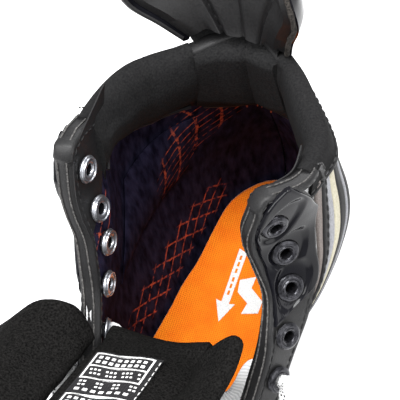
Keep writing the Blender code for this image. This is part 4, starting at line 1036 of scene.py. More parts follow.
def make_guard():
    u, v = np.meshgrid(np.linspace(0, 1, 70), np.linspace(0.0, 1, 44))
    ribs = sum(np.exp(-((v - c) / 0.035) ** 2) for c in GUARD_RIBS) * np.sin(np.pi * u) ** 0.6
    made = piece("guard_moulding", panel(guard_point(u, v, 0.15 + 0.8 * ribs), guard_point(u, v, -2.2)),
        gloss_black, GUARD, sheet_metres(u, v, GUARD_SIZE))
    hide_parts("tendon_guard")

    u, v = np.meshgrid(np.linspace(0.012, 0.988, 84), np.linspace(0.012, 0.985, 56))
    thick = 10.4 - 5.4 * v ** 0.7
    round_off = np.sin(np.pi * np.clip(u, 0.01, 0.99)) ** 0.32 * np.minimum((1 - v) / 0.16, 1.0) ** 0.4
    channels = sum(deep * np.exp(-(((u - c) + tilt * (v - 0.5)) / wide) ** 2)
                   for c, wide, deep, tilt in GUARD_CHANNELS)
    inner = -3.3 - (thick - 1.0) * round_off + channels * round_off + ripples(u * 2, v * 2, 31, 0.35)
    made = piece("guard_cushion", panel(guard_point(u, v, -2.35), guard_point(u, v, inner)), soft_black,
        GUARD, sheet_metres(u, v, GUARD_SIZE))
    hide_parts("tendon_guard_pad")

    edge_u = np.concatenate([np.zeros(26), np.linspace(0, 1, 60), np.ones(26)])
    edge_v = np.concatenate([np.linspace(0.04, 0.97, 26), np.full(60, 0.985), np.linspace(0.97, 0.04, 26)])
    line = guard_point(edge_u, edge_v, -1.4)
    middle = len(line) // 2
    piece("guard_edge_roll", bead(line[:middle], 0.85), strip_black, GUARD)
    piece("guard_rough_edge",
        bead(line[middle - 1:], 0.95 + 0.12 * np.sin(np.arange(len(line) - middle + 1) * 1.7), sides=10),
            frayed, GUARD)
    seam = guard_point(np.full(40, 0.075), np.linspace(0.05, 0.93, 40), -3.0 - 4.3)
    piece("guard_piping", joined(bead(seam, 0.5), bead(guard_point(np.full(40, 0.93),
        np.linspace(0.05, 0.93, 40), -7.0), 0.45)), strip_black, GUARD)


def make_guard_gusset():
    """Soft strip that joins the pillow to the guard's cushion, running up over the guard's root."""
    u = np.linspace(0.03, 0.97, 60)
    rings = []
    for share in np.linspace(0, 1, 12):
        above = guard_point(u, np.full(60, 0.10), -5.0)
        below = guard_point(u, np.full(60, 0.0), -5.4) - (0, 0, 7.0)
        bulge = 1.2 * math.sin(math.pi * share)
        middle = below + (above - below) * share
        middle[:, 1] -= bulge
        rings.append(middle)
    rings = np.array(rings)
    back = rings + (0, 1.8, 0)
    made = piece("guard_gusset", panel(rings, back), pad_black, body=None)
    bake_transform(made)


make_guard()
make_guard_gusset()


# ---------------------------------------------------------------- footbed
FOOTBED_COUNT = 150
FOOTBED_MIDDLE = np.array((0.0, 10.0))
FOOTBED_RINGS = (  # share of the outline, lift, and whether on the lower face
    (0.985, 0.0, True), (1.0, 0.7, True), (1.0, 0.1, False), (0.985, 0.95, False), (0.955, 0.75, False),
    (0.90, 0.25, False), (0.80, 0.0, False), (0.65, -0.1, False), (0.45, -0.1, False), (0.25, -0.1, False),
    (0.08, -0.1, False),
)


def footbed_thick(y):
    return 3.0 + 3.4 * np.clip((y - TOE_JOINT_Y) / 150.0, 0, 1)


def make_footbed():
    """Cupped insole with a rounded rim."""
    heel = np.array([(-23.4, 62.0), (-21.4, 76.0), (-18.6, 89.5), (-13.0, 98.0), (-5.4, 103.6), (3.4, 104.2),
        (11.6, 100.4),
                     (17.6, 92.0), (20.4, 78.0), (22.4, 62.0)])
    front = []
    for side, order in ((MEDIAL, 1), (LATERAL, -1)):
        ys = skin(side, 66.0, LINER_INNER - 1.0, part=np.linspace(0.02, 0.62, 12))[::-order]
        front.append(ys[:, :2])
    toe = np.array([(38.5 * math.copysign(abs(math.cos(a)) ** 0.8, math.cos(a)) * 0.86,
        -66.0 - 43.0 * math.sin(a) ** 0.86)
                    for a in np.linspace(0.12, math.pi - 0.12, 15)])
    medial = front[0][front[0][:, 1] < 56]
    lateral = front[1][front[1][:, 1] < 56]
    outline = closed_curve(np.concatenate([heel, medial, toe, lateral]), FOOTBED_COUNT)
    rings, uvs = [], []
    for share, lift, lower in FOOTBED_RINGS:
        plan = FOOTBED_MIDDLE + (outline - FOOTBED_MIDDLE) * share
        cup = np.clip((outline[:, 1] - 30.0) / 60.0, 0, 1) * np.clip((share - 0.72) / 0.26, 0, 1) ** 2 * 2.6
        base = sole_z(plan[:, 1]) + 2 * GAP + BOARD_THICK
        height = base + lift if lower else base + footbed_thick(plan[:, 1]) + lift + cup
        rings.append(np.stack([plan[:, 0], plan[:, 1], height], axis=1))
        uvs.append(plan * MM)
    made = piece("insole_top", swept(rings), orange, uv=np.concatenate(uvs), sharp=60)
    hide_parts("footbed")


make_footbed()


def decal(name, shapes, height, look, body=BOOT, thick=0.22):
    """Thin raised print: shapes are outlines of (x, y); height(x, y) gives the surface below each point."""
    bodies = []
    for outline in shapes:
        outline = np.asarray(outline, float)
        fine = []
        for a, b in zip(outline, np.roll(outline, -1, axis=0)):
            steps = max(int(np.linalg.norm(b - a) / 1.5), 1)
            fine += [a + (b - a) * k / steps for k in range(steps)]
        lower = [np.array(height(*p, 0.0)) for p in fine]
        upper = [np.array(height(*p, thick)) for p in fine]
        bodies.append(swept([lower, upper]))
    return piece(name, joined(*bodies), look, body)


def on_footbed(x, y, lift):
    return (x, y, sole_z(y) + 2 * GAP + BOARD_THICK + float(footbed_thick(y)) - 0.02 + lift)


def footbed_prints():
    along = np.array((-0.02, -1.0)) / math.hypot(0.02, 1.0)
    across = np.array((-along[1], along[0]))
    tip = np.array((-8.2, 38.2))

    def at(side_mm, back_mm):
        return tip - along * back_mm + across * side_mm

    arrow = [at(0, 0), at(3.9, 8.6), at(1.55, 8.2), at(1.75, 31.5), at(-1.75, 33.0), at(-1.55, 8.6),
        at(-3.9, 9.2)]
    bars = []
    for start in (12.0, 15.0, 18.0, 22.0, 25.0, 28.0):
        bars.append([at(-0.45, start), at(0.45, start), at(0.45, start + 1.9), at(-0.45, start + 1.9)])
    mark = [(-5.2, 57.5), (0.6, 60.2), (0.2, 55.0), (5.9, 50.2), (5.6, 44.9), (-0.7, 43.3), (0.4, 48.2),
        (-4.6, 52.2)]
    ring = [(8.0, 62.0), (13.0, 66.0), (17.0, 60.0), (16.0, 50.0), (11.0, 48.0)]
    decal("insole_print", [arrow, mark, ring], on_footbed, print_white)
    decal("insole_print_bars", bars, lambda x, y, lift: on_footbed(x, y, lift + 0.2), orange,
        thick=0.12)


footbed_prints()

# ---------------------------------------------------------------- facings, patches and bindings
REACHES = {
    MEDIAL: ((104, 0.2), (124, 0.3), (138, 0.4), (147, 1.0), (154, 0.3), (166, 0.0), (172, 0.5), (178, 1.3),
        (184, 1.2), (189, 0.7), (193, 0.3)),
    LATERAL: ((104, 0.2), (140, 0.3), (165, 0.4), (180, 0.7), (193, 0.3)),
}
FAR_EDGES = ((104, 20.5), (120, 18.6), (131, 17.6), (142, 17.4), (149, 17.6), (152, 17.1), (160, 18.5),
    (170, 21.2),
             (177, 22.5), (183, 18.1), (190, 12.4), (194, 9.6))


def reach(side, z):
    zs, outs = zip(*REACHES[side])
    return hermite(zs, outs, z)


def far_edge(z):
    zs, outs = zip(*FAR_EDGES)
    return np.interp(z, zs, outs)


def run_panel(side, near, far, z, outer, inner, columns):
    """A closed sheet between two distances at each height."""
    share = np.linspace(0, 1, columns)
    z = np.broadcast_to(np.asarray(z)[:, None], (len(z), columns))
    run = near[:, None] + (far - near)[:, None] * share
    outer = outer(run, z) if callable(outer) else outer
    shape = panel(skin(side, z, outer, distance=run), skin(side, z, inner, distance=run))
    return shape, sheet_metres(run, z)


def corner_z(side):
    return RIM[side][0][1]


def make_facing(side, name):
    z = np.linspace(105.0, corner_z(side) - 0.8, 110)
    near, far = -reach(side, z), far_edge(z)

    def outer(run, height):
        edge = np.minimum(run - near[:, None], far[:, None] - run)
        groove = 0.22 * np.exp(-((edge - 2.6) / 0.55) ** 2)
        return 1.62 - 0.35 * np.exp(-edge / 0.5) - groove

    shape, uv = run_panel(side, near, far, z, outer, FACING_GAP, 26)
    made = piece(f"{name}_eyelet_strip", shape, strip_black, uv=uv)
    cut_round(made, EYELET_PLACES[side], CLOTH_HOLE_R)
    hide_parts(f"{name}_facing")
    rows = []
    for offset, first, last in ((3.0, 107, 188), (-2.2, 107, 149)):
        heights = np.linspace(first, last, 160)
        run = (-reach(side, heights) + offset) if offset > 0 else far_edge(heights) + offset
        rows.append(stitches(skin(side, heights, 1.62, distance=run), 1.9, 0.9, 0.25))
    piece(f"{name}_strip_stitches", joined(*rows), thread_grey)


def binding_path(side):
    """The front edge, then the rim from the collar's corner back: (distance, height, across, up) rows."""
    z = np.linspace(104.0, corner_z(side) - 3.0, CORNER_STATION)
    line = [(-reach(side, h), h, -1.0, 0.0) for h in z]
    start = line[-1]
    first = PAD_SPAN[side][0] + 0.02
    parts = np.linspace(0.012, first, 30)
    heights = height_on(side, parts, RIM[side])
    lengths = np.interp(heights, ROWS, WALL[side][1])
    for k, (p, h) in enumerate(zip(parts, heights)):
        ease = min((k + 1) / 5.0, 1.0)
        angle = math.pi / 2 * ease
        line.append((p * lengths[k] - (1 - ease) * 0.8, h - (1 - ease) * 0.6, -math.cos(angle),
            math.sin(angle)))
    line[CORNER_STATION - 1:CORNER_STATION + 1] = [start]
    return np.array(line)


BINDING = np.array([  # its section, as (distance past the edge, depth)
    (-1.5, 1.95), (-0.5, 2.05), (0.15, 1.7), (0.55, 0.9), (0.65, -1.6), (0.5, -3.6), (0.05, -4.55),
    (-0.8, -4.8),
    (-2.2, -4.75), (-2.2, -4.5), (-0.9, -4.45), (-0.1, -4.2), (0.15, -2.0), (0.1, 1.0), (-0.4, 1.5),
    (-1.5, 1.6),
])


def make_binding(side, name):
    """Folded tape over the front edge, its layers' edges and its stitches."""
    line = binding_path(side)
    rings = []
    for k, (s, z, out_s, out_z) in enumerate(line):
        spare = BINDING[:, 0] + 0.95 * math.exp(-((k - CORNER_STATION) / 2.8) ** 2)
        rings.append(skin(side, z + spare * out_z, BINDING[:, 1], distance=s + spare * out_s))
    along = np.repeat(np.arange(len(line)) * 0.7, len(BINDING)) * MM
    around = np.tile(np.arange(len(BINDING)) * 1.0, len(line)) * MM
    piece(f"{name}_edge_binding", swept(rings), strip_black, uv=np.stack([around, along], axis=1),
          sharp=60)

    def beside(past, depth):
        return skin(side, line[:, 1] + past * line[:, 3], depth, distance=line[:, 0] + past * line[:, 2])

    edge, edge_in = beside(0.72, 0.7), beside(0.8, -2.6)
    wave = 0.30 + 0.08 * np.sin(np.arange(len(line)) * 2.1)
    piece(f"{name}_edge_layers", joined(bead(edge, wave, flat=0.8), bead(edge_in, wave, flat=0.8)),
        foam_edge)
    inner, outer = beside(-1.5, -4.8), beside(-0.8, 2.05)
    piece(f"{name}_binding_stitches", joined(stitches(inner, 1.9, 1.1, 0.26),
        stitches(outer, 1.9, 1.1, 0.24)), thread_grey)


PATCH_NEAR = ((147.0, 0.4), (150, -0.2), (157, 0.4), (164, 1.8), (172, 1.3), (178, -0.3), (183, -0.9),
    (188, 0.6), (191, 3.4), (193.6, 7.4))
PATCH_FAR = ((147.0, 1.4), (148.6, 8.9), (150.6, 15.9), (152.0, 16.9), (160, 18.3), (170, 21.0),
    (176.5, 22.1), (183, 17.6), (190, 11.6),
             (193.6, 8.4))


PATCH_FOOT, PATCH_HEAD = 147.1, 193.4
PATCH_FLOOR, PATCH_CROWN, PATCH_ROUND = 2.3, 1.1, 1.1
RECESS_ALONG, RECESS_ACROSS = 0.78, 0.62  # direction in which each recess is drawn out
RECESS_R, RECESS_STRETCH, RECESS_SLOPE = 5.5, 1.75, 1.6


def make_patch(side, name):
    """Moulded glossy plate round the top three eyelets, each in a drawn-out recess."""
    z = np.linspace(PATCH_FOOT, PATCH_HEAD, 110)
    near = np.interp(z, *zip(*PATCH_NEAR))
    far = np.interp(z, *zip(*PATCH_FAR))
    holes = EYELETS[side][:3]

    def outer(run, height):
        edge = np.minimum(run - near[:, None], far[:, None] - run)
        ends = np.minimum(height - z[0], z[-1] - height) + 0.3
        edge = np.clip(np.minimum(edge, ends) / PATCH_ROUND, 0, 1)
        depth = PATCH_FLOOR + PATCH_CROWN * np.sqrt(1 - (1 - edge) ** 2)
        for hole_z, hole_s in holes:
            along = (run - hole_s) * RECESS_ACROSS + (height - hole_z) * RECESS_ALONG
            beside = (run - hole_s) * RECESS_ALONG - (height - hole_z) * RECESS_ACROSS
            stretch = np.where(along > 0, along / RECESS_STRETCH, along)
            away = np.sqrt(stretch ** 2 + beside ** 2) - RECESS_R
            slope = np.clip(0.5 - away / RECESS_SLOPE, 0, 1)
            depth = depth - np.clip(depth - PATCH_FLOOR, 0, 9) * slope * slope * (3 - 2 * slope)
        return depth

    shape, uv = run_panel(side, near, far, z, outer, PATCH_BACK, 72)
    made = piece(f"{name}_moulded_patch", shape, gloss_black, uv=uv)
    cut_round(made, EYELET_PLACES[side][:3], FLANGE_HOLE_R)
    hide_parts(f"{name}_eyelet_patch")


RING_SIDES = 28
ROLLED_RING = ((1.95, 0.0), (2.2, -0.55), (2.8, -0.75), (3.5, -0.6), (4.2, -0.3), (4.55, 0.1), (4.5, 0.45),
    (4.3, 0.35),
               (1.95, 0.1))
RING_BEAD = ((3.45, -0.55), (3.65, -0.95), (3.95, -0.95), (4.1, -0.5))
CAP_RING = ((1.9, 0.05), (2.1, 0.55), (2.7, 0.75), (3.0, 0.45), (3.3, 0.6), (3.9, 0.45), (4.45, 0.05),
    (4.3, -0.1),
            (1.9, -0.1))


def make_rings(side, name):
    """Rolled metal rings on the inner end of each eyelet and black caps on the outer one."""
    inside, outside = [], []
    for centre, axis in EYELET_PLACES[side]:
        base = centre + axis * (EYELET_DEPTH + LINER_INNER - 1.75)
        inside += [turned(profile, RING_SIDES, base, axis) for profile in (ROLLED_RING, RING_BEAD)]
        top = centre + axis * (EYELET_DEPTH + FACING_GAP + FACING_THICK + 1.3)
        outside.append(turned(CAP_RING, RING_SIDES, top, axis))
    piece(f"{name}_eyelet_rings_inside", joined(*inside), eyelet_silver)
    piece(f"{name}_eyelet_rings_outside", joined(*outside), eyelet_black)


BAND_LINES = (
    ((12.5, 194.2), (18.5, 187.5), (23.9, 179.5), (23.9, 172.0), (21.9, 164.0), (18.9, 155.0), (17.9, 149.5),
    (15.4, 144.5)),
    ((13.5, 195.0), (20.0, 189.5), (27.8, 180.5), (27.3, 171.0), (23.8, 162.5), (20.5, 154.0), (19.2, 148.6),
    (15.5, 143.8)),
    ((15.5, 195.6), (22.5, 190.5), (30.7, 181.5), (30.0, 170.0), (26.3, 161.0), (22.6, 153.0), (20.5, 147.8),
    (15.7, 143.2)),
    ((17.0, 195.9), (25.0, 191.0), (34.0, 182.5), (33.4, 170.0), (29.9, 160.0), (25.5, 152.0), (22.0, 147.2),
    (15.7, 142.8)),
    ((18.0, 196.0), (27.0, 191.2), (37.5, 183.0), (36.8, 169.0), (33.5, 158.5), (28.4, 151.0), (23.5, 146.6),
    (15.7, 142.4)),
    ((19.0, 196.0), (28.5, 191.4), (40.9, 183.0), (40.5, 168.0), (37.2, 156.8), (31.7, 149.6), (25.2, 146.0),
    (15.7, 142.0)),
    ((19.5, 196.0), (29.0, 191.4), (42.1, 183.0), (41.8, 167.6), (38.6, 156.0), (33.0, 148.8), (26.1, 145.6),
    (15.7, 141.8)),
    ((20.0, 196.0), (30.0, 191.4), (44.3, 183.0), (44.4, 167.0), (40.9, 154.6), (35.3, 147.6), (27.5, 145.0),
    (15.7, 141.4)),
)


def make_bands(side, name):
    """Curved layers behind the facing: taupe corner, welt, silver, cream, black and a fine silver line."""
    layers = ((0, taupe_panel, 0.9), (1, strip_black, 1.35), (2, silver_band, 0.8), (3, cream_band, 0.75),
        (4, soft_black, 0.7),
              (5, silver_band, 0.75), (6, soft_black, 0.65))
    labels = ("taupe_corner", "welt", "silver_band", "cream_band", "black_band", "silver_line", "black_edge")
    for (k, look, high), label in zip(layers, labels):
        lines = [smooth_path([(s, z, 0) for s, z in BAND_LINES[k + j]], 70) for j in (0, 1)]
        share = np.linspace(0, 1, 9)[None, :]
        run = lines[0][:, :1] + (lines[1][:, :1] - lines[0][:, :1]) * share
        z = lines[0][:, 1:2] + (lines[1][:, 1:2] - lines[0][:, 1:2]) * share
        rims = np.interp(skin(side, z, distance=run)[..., 1], *zip(*RIM[side])) - 0.9
        keep = slice(6 if k == 0 else 8, None)
        run, z, rims = run[keep], z[keep], rims[keep]
        z = np.minimum(z, rims)
        round_off = 1 - (2 * share - 1) ** 6
        piece(f"{name}_{label}", panel(skin(side, z, 0.25 + high * (0.35 + 0.65 * round_off), distance=run),
            skin(side, z, 0.12, distance=run)), look, uv=sheet_metres(run, z))
    seam = smooth_path([(s, z, 0) for s, z in BAND_LINES[2]], 160)[20:]
    seam = skin(side, seam[:, 1], 1.7, distance=seam[:, 0] - 1.1)
    piece(f"{name}_welt_stitches", stitches(seam, 2.0, 1.0, 0.3), thread_grey)


def make_inner_facing(side, name):
    """Black lining over the facing's inner face near the top eyelets."""
    z = np.linspace(163.0, corner_z(side) - 1.0, 40)
    near = -reach(side, z) - 0.2
    far = np.interp(z, (163.0, 166.0, 172.0, 180.0, 195.0), (2.0, 9.0, 15.5, 24.0, 29.0))
    shape, uv = run_panel(side, near, far, z, -4.72, -4.32, 24)
    made = piece(f"{name}_facing_lining", shape, strip_black, uv=uv)
    cut_round(made, EYELET_PLACES[side][:2], CLOTH_HOLE_R)


for side, name in SIDES:
    make_facing(side, name)
    make_binding(side, name)
    make_patch(side, name)
    make_rings(side, name)
    make_bands(side, name)
    make_inner_facing(side, name)

# ---------------------------------------------------------------- tongue
TONGUE_RISE = math.radians(25.0)
TONGUE_DRIFT = math.radians(6.0)
TONGUE_START = np.array((-6.0, -13.0, 135.0))
ACROSS = np.array((math.cos(TONGUE_DRIFT), -math.sin(TONGUE_DRIFT), 0.0))
ALONG = np.array((-math.sin(TONGUE_DRIFT) * math.cos(TONGUE_RISE),
    -math.cos(TONGUE_DRIFT) * math.cos(TONGUE_RISE),
                  math.sin(TONGUE_RISE)))
FACE = np.cross(ACROSS, ALONG) * -1.0
FACE = FACE if FACE[2] > 0 else -FACE


def on_tongue(a, b, f):
    a, b, f = (np.asarray(v, float)[..., None] for v in (a, b, f))
    return TONGUE_START + ACROSS * a + ALONG * b + FACE * f


def tongue_half(along, side):
    halves = {LATERAL: (16.6, 16.6, 16.6, 16.6, 23.0), MEDIAL: (23.0, 21.0, 16.8, 16.8, 22.0)}[side]
    return np.interp(along, (9.0, 20.0, 38.0, 46.0, 78.0), halves)


TONGUE_RING = 48
LOBE_STATIONS = 70


def tongue_stations():
    """Middle line of the tongue, from its base under the laces to its tip."""
    base = [(1.5, -88.0, 87.5), (0.9, -77.0, 89.3), (0.4, -66.0, 91.5), (-0.3, -52.0, 94.6),
        (-0.9, -40.0, 99.6), (-1.4, -29.0, 106.8),
            (-2.2, -21.0, 113.6), (-3.4, -14.0, 119.6), (-4.6, -9.8, 124.6), (-5.4, -9.2, 129.6),
            (-6.0, -12.0, 133.6),
            (-6.4, -16.6, 136.4)]
    body = [tuple(on_tongue(0.0, b, 0.0)) for b in (9.0, 16.0, 26.0, 38.0, 50.0, 62.0, 72.0, 78.0)]
    return smooth_path(base + body, 110)


def make_tongue_centre():
    path = tongue_stations()
    tangents = unit(np.gradient(path, axis=0))
    along = (path - TONGUE_START) @ ALONG
    above = path[:, 2] > 128.0
    on_body = np.clip(np.where(above, along / 14.0, 0.0), 0, 1)
    across = np.array((1.0, 0.0, 0.0)) * (1 - on_body)[:, None] + ACROSS * on_body[:, None]
    across = unit(across_to(across, tangents))
    felt_side = np.cross(across, tangents)
    if felt_side[-1] @ FACE < 0:
        felt_side = -felt_side
    lat = np.where(on_body > 0, tongue_half(np.maximum(along, 9), LATERAL), 0)
    med = np.where(on_body > 0, tongue_half(np.maximum(along, 9), MEDIAL), 0)
    base_half = np.interp(path[:, 1], (-88, -20), (19.6, 17.0))
    lat = base_half * (1 - on_body) + lat * on_body
    med = base_half * (1 - on_body) + med * on_body
    tip = np.clip((along - 62.0) / 16.6, 0, 1) * above
    narrow = np.sqrt(1 - 0.93 * tip ** 2)
    thick = smoothed(np.where(above, 2.2 + 1.8 * on_body, np.interp(path[:, 1], (-88, -22), (1.9, 2.2))), 6)
    bend = np.exp(-((path[:, 1] + 10.0) / 8.0) ** 2) * np.exp(-((path[:, 2] - 128.0) / 9.0) ** 2)
    turn = np.linspace(0, 2 * math.pi, TONGUE_RING, endpoint=False)
    c, s = np.cos(turn), np.sin(turn)
    ease_c = np.sign(c) * np.abs(c) ** 0.55
    ease_s = np.sign(s) * np.abs(s) ** 0.55
    rings, uvs = [], []
    for k in range(len(path)):
        a = np.where(c > 0, med[k], lat[k]) * ease_c * narrow[k]
        flat = thick[k] * ease_s
        flat = flat + ripples(a / 40.0, np.full(TONGUE_RING, k / 40.0), 41, 0.5) * (s > 0)
        lift = bend[k] * 6.5 * (a / 17.0) ** 2 - (1 - on_body[k]) * (1 - bend[k]) * 3.6 * (a / 19.0) ** 2
        ring = path[k] + across[k] * a[:, None] + felt_side[k] * flat[:, None]
        ring[:, 2] += lift
        rings.append(ring)
        uvs.append(np.stack([a, np.full(TONGUE_RING, k * 1.7)], axis=1) * MM)
    made = piece("tongue_felt", swept(rings), felt, body=None, uv=np.concatenate(uvs),
        sharp=80)
    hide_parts("tongue_body", "tongue_base")
    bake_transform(made)


def thick_curve(points, radii, count=40):
    """Outline of a rounded bar whose middle follows these points with these half-thicknesses."""
    path = smooth_path([(x, y, 0) for x, y in points], 24)[:, :2]
    share = np.linspace(0, 1, 24)
    radius = np.interp(share, np.linspace(0, 1, len(radii)), radii)
    way = unit(np.gradient(path, axis=0))
    normal = np.stack([-way[:, 1], way[:, 0]], axis=1)
    left, right = path + normal * radius[:, None], path - normal * radius[:, None]
    turns = np.linspace(0.4, math.pi - 0.4, 5)
    cap = [path[-1] + radius[-1] * (math.cos(a) * normal[-1] + math.sin(a) * way[-1]) for a in turns]
    start = [path[0] + radius[0] * (-math.cos(a) * normal[0] - math.sin(a) * way[0]) for a in turns]
    whole = np.concatenate([left, cap, right[::-1], start, left[:1]])
    return evenly(whole, count, False)


LOBES = {
    LATERAL: (
        (5.0, ((-20, 4), (-23, 7.5), (-26, 10.5), (-29, 11), (-32, 10)), (1.6, 2.4, 2.6, 2.4, 1.6)),
        (8.0, ((-20, 3.5), (-24, 6.5), (-28, 9.5), (-34, 9), (-40, 5)), (2.2, 3.4, 3.8, 3.8, 2.6)),
        (14.0, ((-20, 3), (-25, 5), (-31, 6.5), (-38, 5.5), (-45, 1.5)), (2.4, 3.8, 4.4, 4.4, 3.0)),
        (24.0, ((-20, 2), (-27, 2.5), (-34, 3.5), (-41, 2.5), (-48, -1.5)), (2.4, 3.6, 4.4, 4.4, 3.0)),
        (38.0, ((-20, 1), (-28, 1), (-35, 2.5), (-42, 2.5), (-49, -1)), (2.4, 3.4, 4.2, 4.2, 3.0)),
        (54.0, ((-21, 1), (-29, 0.5), (-36, 1.5), (-42, 1.5), (-48, -1.5)), (2.2, 3.2, 3.8, 3.8, 2.6)),
        (66.0, ((-22, 1), (-28, 0.5), (-33, 0.5), (-38, 0.5), (-41, -0.5)), (1.4, 2.0, 2.4, 2.2, 1.4)),
    ),
    MEDIAL: (
        (4.0, ((19, 4), (22, 7), (25, 10), (27, 12), (28, 13)), (1.4, 2.2, 2.4, 2.2, 1.6)),
        (8.0, ((20, 3), (23.5, 8), (26.5, 13), (28.5, 16.5), (30, 18.5)), (3.2, 4.6, 4.4, 3.6, 2.6)),
        (14.0, ((21, 2), (24.5, 6), (27.5, 10), (29.5, 13.5), (31, 15)), (3.0, 4.4, 4.2, 3.6, 2.6)),
        (24.0, ((19, 1), (23, 3), (26.5, 6), (29, 8.5), (30.5, 10)), (2.8, 3.8, 3.8, 3.2, 2.4)),
        (40.0, ((18, 1), (22, 2), (25.5, 4), (28, 6), (29.5, 7.5)), (2.6, 3.4, 3.4, 3.0, 2.2)),
        (60.0, ((19, 1), (22.5, 1.5), (26, 3), (28, 4), (29, 5)), (1.4, 2.2, 2.4, 2.0, 1.6)),
    ),
}


def make_lobe(side, name):
    """Soft wing of the tongue."""
    stations = LOBES[side]
    knots = [row[0] for row in stations]
    sections = np.array([thick_curve(points, radii) for _, points, radii in stations])
    bs = np.linspace(knots[0], knots[-1], LOBE_STATIONS)
    shapes = hermite(knots, sections.reshape(len(knots), -1), bs).reshape(len(bs), -1, 2)
    rings, uvs = [], []
    for k, (b, shape) in enumerate(zip(bs, shapes)):
        centre = shape.mean(axis=0)
        end = min((b - knots[0]) / 4.0, (knots[-1] - b) / 6.0, 1.0)
        shape = centre + (shape - centre) * (0.25 + 0.75 * math.sqrt(max(1 - (1 - end) ** 2, 0.0)))
        bumps = 1 + 0.035 * ripples(np.linspace(0, 2, len(shape)), np.full(len(shape), k / 22.0), 51 + side,
            1.0)
        shape = centre + (shape - centre) * bumps[:, None]
        rings.append(on_tongue(shape[:, 0], np.full(len(shape), b), shape[:, 1]))
        uvs.append(np.stack([np.arange(len(shape)) * 1.2, np.full(len(shape), b)], axis=1) * MM)
    made = piece(f"tongue_lobe_{name}", swept(rings), felt, body=None, uv=np.concatenate(uvs),
        sharp=80)
    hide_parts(f"tongue_wing_{name}")
    end = on_tongue(side * (WING_SEAM[side] + 2.5), 30.0, 3.5)
    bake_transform(made)


def dashed_cover():
    """White mesh of the tongue's outside, with short dark threads in rows."""
    look = Look("dashed_cover", 0.6)
    u, v = look.uv()
    row = look.math("DIVIDE", v, COVER_ROW_PITCH)
    shift = look.math("MULTIPLY", look.math("FLOOR", row), 0.37)
    dash = look.math("FRACT", look.math("ADD", look.math("DIVIDE", u, COVER_DASH_PITCH), shift))
    on = look.math("MULTIPLY", look.math("LESS_THAN", look.math("FRACT", row), 0.42),
        look.math("LESS_THAN", dash, 0.5))
    base = look.mix(look.between(look.noise(700.0, 3.0), 0.3, 0.7), (0.66, 0.66, 0.66), (0.86, 0.86, 0.86))
    look.set("Base Color", look.mix(on, base, (0.02, 0.02, 0.024)))
    look.bump(look.math("FRACT", row), 0.00015, 0.5)
    return look.material


cover_look = dashed_cover()


def make_tongue_cover():
    b, a = np.meshgrid(np.linspace(9.0, 77.0, 60), np.linspace(-1, 1, 34), indexing="ij")
    half = np.where(a < 0, tongue_half(b, LATERAL), tongue_half(b, MEDIAL)) + 0.6
    half = half * np.sqrt(np.clip(1 - (np.clip(b - 62.0, 0, 99) / 16.4) ** 2, 0.05, 1))
    down = -4.5 - 0.5 * (1 - np.abs(a) ** 3)
    front, back = on_tongue(half * a, b, down), on_tongue(half * a, b, down - 1.3)
    made = piece("tongue_outer_cover", panel(front, back), cover_look, TONGUE, sheet_metres(half * a, b))
    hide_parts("tongue_cover")


def label_at(p, q, lift):
    a = -12.7 + 0.949 * p + 0.03 * q
    b = 16.8 - 0.30 * p + q
    wave = 0.35 * np.sin(p * 0.5) + 0.25 * np.cos(q * 0.22)
    return on_tongue(a, b, 4.95 + wave + lift)


def make_label():
    """Sewn-in size tag: plain frames and bars, no wording."""
    q, p = np.meshgrid(np.linspace(0, 44, 60), np.linspace(0, 21.5, 30), indexing="ij")
    made = piece("tongue_size_tag", panel(label_at(p, q, 0.0), label_at(p, q, -0.7)), mesh_black, TONGUE,
        sheet_metres(p, q))
    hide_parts("tongue_label")
    shapes = []

    def bar(p0, q0, p1, q1):
        shapes.append([(p0, q0), (p1, q0), (p1, q1), (p0, q1)])

    for top in (0.7, 22.3):
        for q0, q1 in ((0.0, 0.55), (6.2, 6.75), (12.4, 12.95)):
            bar(0.7, top + q0, 19.4, top + q1)
        for p0 in (0.7, 18.85):
            bar(p0, top + 0.5, p0 + 0.55, top + 12.5)
        for k in range(8):
            bar(2.3 + 2.0 * k, top + 1.7, 3.4 + 2.0 * k, top + 2.8)
            bar(2.3 + 2.0 * k, top + 3.9, 3.5 + 2.0 * k, top + 5.1)
        for k in range(13):
            if k % 4 != 3:
                bar(2.2 + 1.25 * k, top + 8.1, 2.9 + 1.25 * k, top + 8.8)
                bar(2.8 + 1.25 * k, top + 10.0, 3.5 + 1.25 * k, top + 10.7)
        for k in range(14):
            if k % 4 < 2:
                bar(1.6 + 1.3 * k, top + 14.3, 2.4 + 1.3 * k, top + 15.0)
                bar(1.9 + 1.3 * k, top + 16.1, 2.7 + 1.3 * k, top + 16.8)
        for k in range(7):
            bar(2.0 + 2.5 * k, top + 18.3, 3.4 + 2.5 * k, top + 19.5)
    decal("tongue_tag_print", shapes, lambda p, q, lift: label_at(p, q, lift), print_white, TONGUE,
        0.12)
    edge = [label_at(p, q, 0.1) for p, q in [(21.1, k) for k in np.linspace(1, 43, 60)]]
    piece("tongue_tag_stitches", stitches(np.array(edge), 1.8, 0.8, 0.22), thread_white, TONGUE)


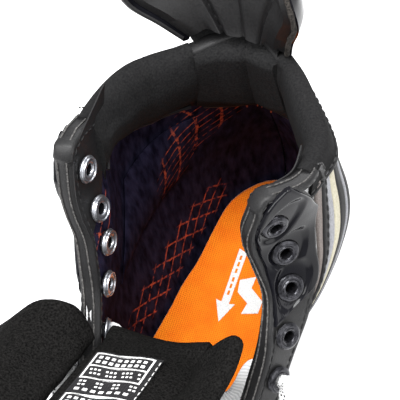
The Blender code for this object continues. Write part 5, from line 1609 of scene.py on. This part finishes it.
make_tongue_centre()
for side, name in SIDES:
    make_lobe(side, name)
make_tongue_cover()
make_label()

# ---------------------------------------------------------------- hard parts
FLAT_ANGLE, CREASE_ANGLE = math.radians(0.5), math.radians(38)


def rounder_shell(node, look):
    """Finer and rounder copy of a moulded shell, in place of its plain solid."""
    source = bpy.data.objects[node]
    shape = bmesh.new()
    shape.from_mesh(source.data)
    shape.transform(source.matrix_world)
    bmesh.ops.remove_doubles(shape, verts=shape.verts, dist=1e-5)
    bmesh.ops.dissolve_limit(shape, angle_limit=FLAT_ANGLE, verts=shape.verts, edges=shape.edges)
    bmesh.ops.join_triangles(shape, faces=[f for f in shape.faces if len(f.verts) == 3],
        angle_face_threshold=0.6,
                             angle_shape_threshold=1.2)
    crease = shape.edges.layers.float.new("crease_edge")
    for edge in shape.edges:
        if edge.calc_face_angle(0) > CREASE_ANGLE:
            edge[crease] = 0.9
    mesh = bpy.data.meshes.new(node + "_rough")
    shape.to_mesh(mesh)
    shape.free()
    rough = bpy.data.objects.new(node + "_rough", mesh)
    bpy.context.scene.collection.objects.link(rough)
    rough.modifiers.new("Round", "SUBSURF").levels = 2
    finished = rough.evaluated_get(bpy.context.evaluated_depsgraph_get()).to_mesh()
    points = np.array([v.co for v in finished.vertices]) / MM - SHIFT
    faces = [tuple(p.vertices) for p in finished.polygons]
    bpy.data.objects.remove(rough)
    made = piece(f"{node}_moulded_shell", (points, faces), look)
    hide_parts(node)


for names, look in (
        (("lateral_quarter", "medial_quarter"), shell_white), (("outsole",), sole_black),
        (("insole_board",), board_brown), (("blade_holder",), holder_white), (("runner",), steel),
        (("front_runner_bolt", "rear_runner_bolt"), rivet_steel),
        ([f"holder_rivet_{k}" for k in range(1, 7)], rivet_steel),
        ([f"{name}_eyelet_{k}" for _, name in SIDES for k in range(1, 9)], eyelet_black),
        ([f"lace_aglet_{name}" for _, name in SIDES], gloss_black)):
    repaint(names, look)
for node in ("toe_cap", "heel_counter"):
    rounder_shell(node, gloss_black)
